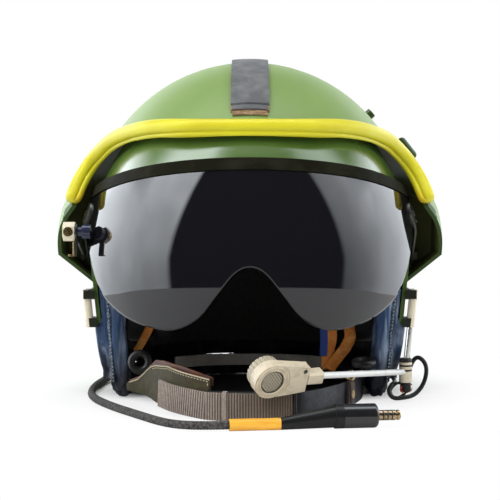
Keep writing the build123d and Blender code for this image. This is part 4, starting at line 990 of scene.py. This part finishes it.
boom_lead = cord_curve("boom_lead", lead_route, 1.7, black_rubber)
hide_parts("mic_lead")
place(*lead_route[0])
dress("lead_clip", black_rubber, edge=0.3)


# Side rolls: soft leather rolled over foam and sewn along a beaded seam, down the shell's front edge at
# each cheek and back along the table. A lining of it goes from the seam out to the shell's edge. The
# leather is creased along the roll, painted with shade that blackens it underneath, and paler along its
# folds with wear and a painted highlight.
# The rolls' pale worn colour is partly real wear and partly a painted highlight along the folds.
roll_leather = leather("roll_leather", (0.030, 0.062, 0.140), (0.32, 0.40, 0.52), rough=0.46, crease=3.2,
                       scale=520.0, stretch=(2.2, 2.2, 0.20), table_shade=0.9, bare=0.47)
# The piping's leather is paler still: wear and painted highlight.
worn_and_lit_leather = leather("roll_worn_and_lit", (0.035, 0.060, 0.10), (0.36, 0.42, 0.50), rough=0.5, crease=2.0,
                       scale=300.0, stretch=(9, 9, 9), table_shade=0.8, bare=0.48)
thread = two_toned("pale_thread", (0.16, 0.20, 0.25), (0.32, 0.36, 0.40), grain=(900.0,), rough=0.8)


def creased(piece, depth, stretch):
    """Adds folds that run up and down, shallower toward the back, and settles the underside on the
    table."""
    bake_down(piece)
    for vertex, normal in zip(piece.data.vertices, [v.normal.copy() for v in piece.data.vertices]):
        at = vertex.co / MM
        fold = noise.fractal((at.x * 0.20, at.y * 0.20, at.z * 0.20 / stretch), 0.8, 2.0, 3)
        share = 1.0 if at.y < 0.0 else 0.4
        vertex.co += normal * (fold - 0.4) * depth * share * MM
        if vertex.co.z < 7 * MM:
            vertex.co.z = max(0.0002, (vertex.co.z - 2 * MM) * 1.4)


def on_skin(piece, x, z, lift=0.0):
    """The point in front on a piece at a place of the drawing, seen along Y."""
    hit, where, normal, face = piece.ray_cast(place(x, -220, z), Vector((0, 1, 0)))
    return in_drawing(where + normal * lift * MM) if hit else None


def stitch_row(name, line, material, node, long, gap, radius):
    """A row of thread stitches along a line of the drawing."""
    points, faces = [], []
    line = even_line(line, (long + gap) / 2)
    for start, end in list(zip(line, line[1:]))[::2]:
        along = (end - start).normalized() * long
        ring = [start, start + along * 0.15, start + along * 0.5, start + along * 0.85, start + along]
        sizes = (0.35, 0.9, 1.0, 0.9, 0.35)
        some, more = swept(ring, lambda index: round_outline(radius * sizes[index], 6), (0.13, 0.11, 1.0))
        faces += [tuple(len(points) + corner for corner in face) for face in more]
        points += some
    fitted(name, (points, faces), material, node)


def even_line(line, step):
    """Points an even step apart along a line."""
    kept, left = [line[0].copy()], step
    for a, b in zip(line, line[1:]):
        run = (b - a).length
        while run >= left:
            a = a + (b - a).normalized() * left
            run -= left
            kept.append(a)
            left = step
        left -= run
    return kept


def shell_edge(side, z):
    """The shell's inner and outer face just behind its front edge, and where that edge is in Y."""
    shell = nodes["outer_shell"]
    for y in (-31, -28, -25, -22, -19, -16, -13, -10):
        inside = shell.ray_cast(place(0, y, z), Vector((side, 0, 0)))
        outside = shell.ray_cast(place(side * 170, y, z), Vector((-side, 0, 0)))
        if inside[0] and outside[0]:
            middle = (inside[1].x + outside[1].x) / 2 / MM
            front = shell.ray_cast(place(middle, -200, z), Vector((0, 1, 0)))
            edge = front[1].y / MM - moved_y if front[0] else y
            return inside[1].x / MM, outside[1].x / MM, edge
    return None


def edge_lining(name, seam, side, node):
    """The leather from a roll's seam out to the shell's front edge. It is tucked behind the edge high up
    and folded round it lower down."""
    lowest = next(z for z in range(seam_low, 60) if shell_edge(side, z))
    fold_start, fold_height, thick, count = 56.0, 8.0, 1.2, 16
    sheets = []
    for start in seam:
        z = start.z
        inner, outer, edge = shell_edge(side, max(z, lowest))
        folded = 1.0 - min(1.0, max(0.0, (z - fold_start) / fold_height))
        reach = outer + side * 1.4
        path = [Vector(start), Vector(((start.x + inner) / 2, (start.y + edge) / 2 - 2.2, z))]
        tucked = [Vector((inner - side * 0.8, edge + 1.0 + 1.5 * step, z)) for step in range(4)]
        round_it = [Vector((inner, edge - 1.9, z)), Vector((reach, edge - 1.4, z)),
                    Vector((reach + side * 0.3, edge + 4.0, z)), Vector((reach, edge + 11.0, z))]
        path = smooth_line(path + [a.lerp(b, folded) for a, b in zip(tucked, round_it)], 1.0)
        total = sum((b - a).length for a, b in zip(path, path[1:]))
        path = even_line(path, total / (count + 0.01))[:count]
        for at in path:
            at += Vector((0, noise.noise(at * 0.25) * 0.8, 0))
        sheets.append(path + [at + Vector((0, thick, 0)) for at in path])
    fitted(name, lofted(sheets)[:2], roll_leather, node)


def beaded(index):
    """The section of the piping at a place of the seam, where the leather swells between stitches."""
    return round_outline(1.9 + 0.5 * noise.noise((index * 0.8, 0, 0)), 8)


seam_low, seam_high = 14, 86
for node, name, foot_x, top_x in (("side_roll_left", "cheek_roll_left", -106.0, -111.0),
                                  ("side_roll_right", "cheek_roll_right", 106.5, 113.0)):
    roll = puffed(node, name, roll_leather, cap=2.5, shrink=1.6, voxel=3.5)
    creased(roll, depth=2.2, stretch=7.0)
    bpy.context.view_layer.update()
    seam = []
    for z in range(seam_low, seam_high + 2, 2):
        x = foot_x + (top_x - foot_x) * (z - seam_low) / (seam_high - seam_low)
        seam.append(on_skin(roll, x, z, lift=0.2))
    seam = [point for point in seam if point]
    piping = swept(even_line(smooth_line(seam, 1.0), 0.9), beaded, (0, -1, 0))
    fitted(name + "_piping", piping, worn_and_lit_leather, node)
    edge_lining(name + "_lining", seam, math.copysign(1, foot_x), node)
    beads = [point + Vector((0, -1.8, 0)) for point in seam]
    stitch_row(name + "_stitches", beads, thread, node, long=1.6, gap=1.2, radius=0.55)

joint_leather = leather("roll_joint", (0.014, 0.014, 0.018), (0.05, 0.05, 0.06), rough=0.55, crease=1.2)
joint = swept([Vector((x, 121.8, 9.9)) for x in range(-9, 10)],
              lambda index: round_outline(9.4 + 0.25 * math.sin(index * 1.7), 24))
fitted("roll_joint", joint, joint_leather, "side_roll_left")


# Straps: ribbed webbing round the chin over a stitched olive tab with a red-brown back, black leather
# from there to the other roll, and pale webbing across the nape. Rubber rings, a webbing keeper and a
# brown strap with a snap close round them, and tan loops and a blue tape hang from the liner.
rib_pitch = 2.0


def band(name, line, material, node, low, high, wall, step=0.9, rib=0.0, groove_shade=None):
    """A strap on edge along a line in plan. Its edges are at heights that may change along it, and a
    ribbed one is painted darker in its grooves, as their shade."""
    line = even_line(line, step)
    total = step * (len(line) - 1)
    heights = []
    for index in range(len(line)):
        share = index * step / total
        heights.append((low(share) if callable(low) else low, high(share) if callable(high) else high))
    line = [Vector((p.x, p.y, (a + b) / 2)) for p, (a, b) in zip(line, heights)]

    def outline(index):
        a, b = heights[index]
        swell = rib * math.cos(2 * math.pi * index * step / rib_pitch)
        return slab_outline(wall + swell, b - a, min(0.6, wall * 0.35))
    made = fitted(name, swept(line, outline), material, node)
    # Painted shade: faces in the grooves between ribs get the darker groove finish.
    if groove_shade:
        made.data.materials.append(groove_shade)
        for face in made.data.polygons:
            turns = (min(face.vertices) // 16 + 0.5) * step / rib_pitch
            if math.cos(2 * math.pi * turns) < -0.3:
                face.material_index = 1


def step_line(*pairs):
    """A height that changes evenly between shares of a length."""
    def height(share):
        for (a, low), (b, high) in zip(pairs, pairs[1:]):
            if share <= b:
                return low + (high - low) * (share - a) / (b - a)
        return pairs[-1][1]
    return height


web_mauve = webbing("chin_webbing", (0.46, 0.385, 0.335), (0.27, 0.22, 0.19), rib=0.6, stained=0.75)
chin_line = rounded_line([(-66.0, -98.0, 0), (-54.0, -117.0, 0), (-27.0, -135.4, 0), (-4.0, -139.6, 0),
                          (12.0, -141.0, 0), (33.0, -130.6, 0)], 1.0)
band("chin_webbing", chin_line, web_mauve, "chin_strap",
     low=step_line((0, 4.6), (0.42, 0.6), (1, 0.4)), high=step_line((0, 24.6), (0.42, 20.2), (1, 20.2)),
     wall=1.7, step=0.5, rib=0.9,
     groove_shade=webbing("webbing_groove_shade", (0.125, 0.100, 0.088), (0.08, 0.062, 0.054), rib=0.5, stained=0.75))
black_leather = leather("strap_black", (0.006, 0.006, 0.010), (0.030, 0.030, 0.040), rough=0.50, crease=2.4)
leather_line = rounded_line([(30.0, -132.4, 0), (40.0, -127.0, 0), (63.0, -94.0, 0), (79.0, -60.0, 0),
                             (87.8, -28.0, 0), (88.9, 2.0, 0)], 1.0)
band("chin_leather", leather_line, black_leather, "chin_strap", low=0.5, high=20.0,
     wall=2.0)
tab_olive = leather("tab_olive", (0.023, 0.017, 0.006), (0.055, 0.048, 0.020), rough=0.72, crease=1.6,
                    scale=700.0, stretch=(2, 2, 2), table_shade=0.0, bare=0.42)
tab_line = rounded_line([(-94.0, -45.0, 0), (-77.0, -63.0, 0), (-65.0, -93.0, 0), (-51.0, -116.0, 0),
                         (-27.6, -132.0, 0)], 1.0)
tab_low = step_line((0, 9.0), (0.42, 5.2), (0.60, 7.5), (1, 20.8))
tab_high = step_line((0, 15.0), (0.12, 19.0), (0.24, 27.0), (0.32, 31.0), (0.42, 33.2), (0.62, 35.0),
                     (1, 29.3))
red_leather = leather("tab_backing", (0.052, 0.013, 0.005), (0.12, 0.045, 0.018), rough=0.5, crease=1.6)
back_high = step_line((0, 17.0), (0.14, 22.0), (0.26, 31.0), (0.36, 36.0), (0.5, 37.3), (0.75, 36.2),
                      (1, 30.2))
band("tab_backing", [p + Vector((2.0, 3.0, 0)) for p in tab_line], red_leather, "chin_strap_tab",
     low=step_line((0, 12.0), (1, 24.0)), high=back_high, wall=1.6)
band("stitched_tab", tab_line, tab_olive, "chin_strap_tab", low=tab_low, high=tab_high,
     wall=2.0)
cream_thread = two_toned("cream_thread", (0.34, 0.29, 0.19), (0.52, 0.46, 0.33), grain=(700.0,), rough=0.8)
even_tab = even_line(tab_line, 1.5)
tab_face = []
for index, point in enumerate(even_tab):
    share = index / (len(even_tab) - 1)
    ahead = (even_tab[min(index + 1, len(even_tab) - 1)] - even_tab[max(index - 1, 0)]).normalized()
    out = Vector((ahead.y, -ahead.x, 0))
    tab_face.append((point + out * (-1.1 if out.y > 0 else 1.1), share))
border = [Vector((p.x, p.y, tab_high(share) - 2.0)) for p, share in tab_face[26:-1]]
last = tab_face[-2][0]
border += [Vector((last.x, last.y, z)) for z in (26.0, 24.5, 23.0)]
stitch_row("tab_stitches", border, cream_thread, "chin_strap_tab", long=1.7, gap=1.0,
           radius=0.40)
edge_line = [Vector((p.x, p.y, tab_high(share) - 0.3)) for p, share in tab_face[2:]]
fitted("tab_binding", swept(edge_line, round_outline(0.55, 6)), cream_thread, "chin_strap_tab")
nape_line = rounded_line([(-65.0, 85.0, 0), (-38.0, 104.0, 0), (0.0, 109.5, 0), (38.0, 104.0, 0),
                          (65.0, 85.0, 0)], 1.0)
# The nape webbing is paler than its own colour: painted light for the helmet's dark inside.
nape_pale_and_lit = webbing("nape_webbing", (0.80, 0.76, 0.68), (0.62, 0.58, 0.52), rib=0.8)
band("nape_webbing", nape_line, nape_pale_and_lit, "nape_strap", low=9.5, high=19.5, wall=1.6,
     step=0.5, rib=0.3)
dress("strap_rubber_rings", black_rubber)

# Black leather lines the shell's back edge, down to the rolls.
back_line = []
for turn in range(24, 157, 3):
    out = Vector((math.cos(math.radians(turn)), math.sin(math.radians(turn)), 0))
    hit, where, normal, face = nodes["outer_shell"].ray_cast(place(0, 30, 30), out)
    if hit:
        inside = in_drawing(where)
        back_line.append(Vector((inside.x, inside.y, 0)) - out * 2.2)
back_low = step_line((0, 12.0), (0.52, 12.0), (0.56, 17.5), (0.68, 17.0), (0.70, 12.0), (1, 12.0))
band("back_lining", smooth_line(back_line, 1.0), black_leather, "side_roll_left",
     low=back_low, high=34.0, wall=1.4)


def flat_loop(name, route, material, width, wall, y, wave, node="leather_loops"):
    """A leather strap that hangs flat to the front, along a route given as (x, z)."""
    line = [Vector((x, y, z)) for x, z in route]
    line = even_line(smooth_line(line, 1.0), 1.0)
    for index, point in enumerate(line):
        point.y += wave * math.sin(index * 0.35)
    points, faces = swept(line, slab_outline(width, wall, min(0.9, wall * 0.4)), (0, 1, 0))
    for point in points:
        point.y += wave * noise.noise(point * 0.25)
        point.x += 0.6 * wave * noise.noise(point * 0.18 + Vector((7, 3, 1)))
    fitted(name, (points, faces), material, node)
    return line


tan = leather("loop_tan", (0.58, 0.19, 0.030), (0.72, 0.38, 0.10), rough=0.42, crease=1.2)
left_route = [(-72.3, 74.0), (-78.5, 57.0), (-86.0, 42.0), (-91.5, 34.0)]
right_route = [(72.0, 77.0), (78.0, 58.0), (79.5, 47.0), (76.0, 38.0), (68.0, 28.0), (62.5, 19.5)]
behind_route = [(64.0, 77.0), (64.5, 55.0), (63.8, 40.0), (61.5, 28.0), (62.0, 20.0)]
tape_route = [(58.5, 79.0), (58.2, 62.0), (58.9, 45.0), (58.4, 31.0)]
left_loop = flat_loop("loop_left", left_route, tan, width=6.5, wall=2.8, y=-6.8, wave=0.8)
right_loop = flat_loop("loop_right", right_route, tan, width=9.0, wall=2.4, y=-8.6, wave=0.9)
flat_loop("loop_right_back", behind_route, tan, width=9.5, wall=2.4, y=-5.6, wave=0.7)
loop_thread = two_toned("loop_thread", (0.62, 0.42, 0.06), (0.55, 0.10, 0.05), grain=(500.0,), rough=0.7)
for name, loop in (("loop_left_stitches", left_loop), ("loop_right_stitches", right_loop)):
    stitch_row(name, [p + Vector((1.8, -1.7, 0)) for p in loop[2:-2]], loop_thread, "leather_loops",
               long=2.0, gap=1.4, radius=0.4)
blue = Finish("tape_blue")
weave = blue.grain(1200.0, 2.0, stretch=(1, 1, 0.4))
blue.done(colour=blue.blend(weave, (0.010, 0.032, 0.16), (0.020, 0.060, 0.30)), rough=0.7,
          normal=blue.relief(weave, 0.1, 0.6))
flat_loop("cloth_tape", tape_route, blue.owner, width=6.0, wall=1.2, y=-7.6, wave=0.25, node="blue_tape")


def keeper(name, at, material, turn, width, depth, low, high, wall):
    """A strap closed round the chin strap."""
    along = Vector((math.cos(math.radians(turn)), math.sin(math.radians(turn)), 0))
    out = Vector((-along.y, along.x, 0))
    half = depth / 2 - wall / 2
    ring = []
    for u, v in slab_outline(2 * half, high - low - wall, min(1.2, half * 0.8)):
        ring.append(Vector((*at, (low + high) / 2)) + out * u + Vector((0, 0, v)))
    kept = [p for p, q in zip(ring, ring[1:] + ring[:1]) if (p - q).length > 0.05]
    fitted(name, swept(kept, slab_outline(wall, width, wall * 0.35), along, True), material, "strap_keepers")


brown_leather = leather("keeper_brown", (0.035, 0.020, 0.014), (0.12, 0.08, 0.055), rough=0.5, crease=0.4)
keeper("webbing_keeper", (-17.5, -137.2), web_mauve, turn=-12.0, width=3.0, depth=4.6, low=0.6, high=21.6,
       wall=0.8)
keeper("snap_strap", (74.9, -75.2), brown_leather, turn=66.5, width=8.0, depth=4.4, low=0.6, high=20.6,
       wall=1.0)
dress("snap_and_ring", brass, edge=0.2)


# Cord: a dark braided lead from a gland under the back of the shell, round the outside of the helmet on
# the table to an orange sleeve in front. A tapered boot, a polished plug and a four-contact jack follow.
cord_route = [
    (-93.0, 97.0, 13.0), (-112.0, 86.0, 6.5), (-123.0, 62.0, 3.1), (-127.5, 14.0, 3.1), (-124.0, -36.0, 3.1),
    (-105.0, -82.0, 3.1), (-76.0, -131.0, 3.1), (-62.0, -154.0, 3.1), (-50.0, -168.0, 3.4),
]
plug_turn = math.radians(8.1)
sleeve_back = (-14.0, -174.5, 4.1)
for along in (-20.0, 0.0):
    cord_route.append((sleeve_back[0] + along * math.cos(plug_turn),
                       sleeve_back[1] + along * math.sin(plug_turn), sleeve_back[2]))
braid = Finish("cord_braid")
yarn = braid.level(braid.grain(520.0, 3.0, 0.7), 0.36, 0.64)
braid.done(colour=braid.blend(yarn, (0.014, 0.013, 0.013), (0.105, 0.100, 0.096)), rough=0.85, specular=0.2,
           normal=braid.relief(yarn, 0.15, 0.7))
guide = cord_curve("cord_guide", cord_route, 3.0, braid.owner)
braid_step, lay_length, braid_radius, strand_lift, strands = 0.7, 26, 2.86, 0.22, 6
middle_line = even_line([in_drawing(p) for p in curve_line(guide)], braid_step)
bpy.data.objects.remove(guide)


def braided_outline(index):
    """A round section that the strands of the braid cross, six each way."""
    ring = []
    for part in range(36):
        turn = 2 * math.pi * part / 36
        twist = 2 * math.pi * index * braid_step / lay_length
        crossing = math.cos(strands * (turn + twist)) * math.cos(strands * (turn - twist))
        radius = braid_radius + strand_lift * crossing
        ring.append((radius * math.cos(turn), radius * math.sin(turn)))
    return ring


cord = fitted("braided_cord", swept(middle_line, braided_outline), braid.owner, "cord")
orange = Finish("sleeve_orange")
creases = orange.grain(150.0, 5.0, stretch=(0.3, 1, 1))
orange.done(colour=orange.blend(orange.level(creases, 0.35, 0.7), (0.80, 0.42, 0.035), (0.66, 0.30, 0.020)),
            rough=0.42, normal=orange.relief(creases, 0.4, 0.5))
dress("cord_sleeve", orange.owner, edge=0.3)
boot_rubber = two_toned("boot_rubber", (0.006, 0.006, 0.006), (0.012, 0.012, 0.012), grain=(90.0, 4.0),
                        rough=0.34, specular=0.2)
dress("plug_boot", boot_rubber, edge=0.4)
dress("cord_gland", black_rubber, edge=0.4)
polished_black = two_toned("plug_black", (0.008, 0.008, 0.009), (0.016, 0.016, 0.017), grain=(60.0, 5.0),
                           rough=0.16)
dress("plug_body", polished_black, edge=0.3)
jack_brass = two_toned("jack_brass", (0.42, 0.31, 0.18), (0.16, 0.11, 0.06), grain=(300.0, 5.0, 0.7),
                       cut=(0.40, 0.65), metal=1.0, rough=0.32)
dress("plug_jack", jack_brass, edge=0.2)
dress("plug_bands", polished_black)
place(*cord_route[0])
[place(*p) for p in middle_line]
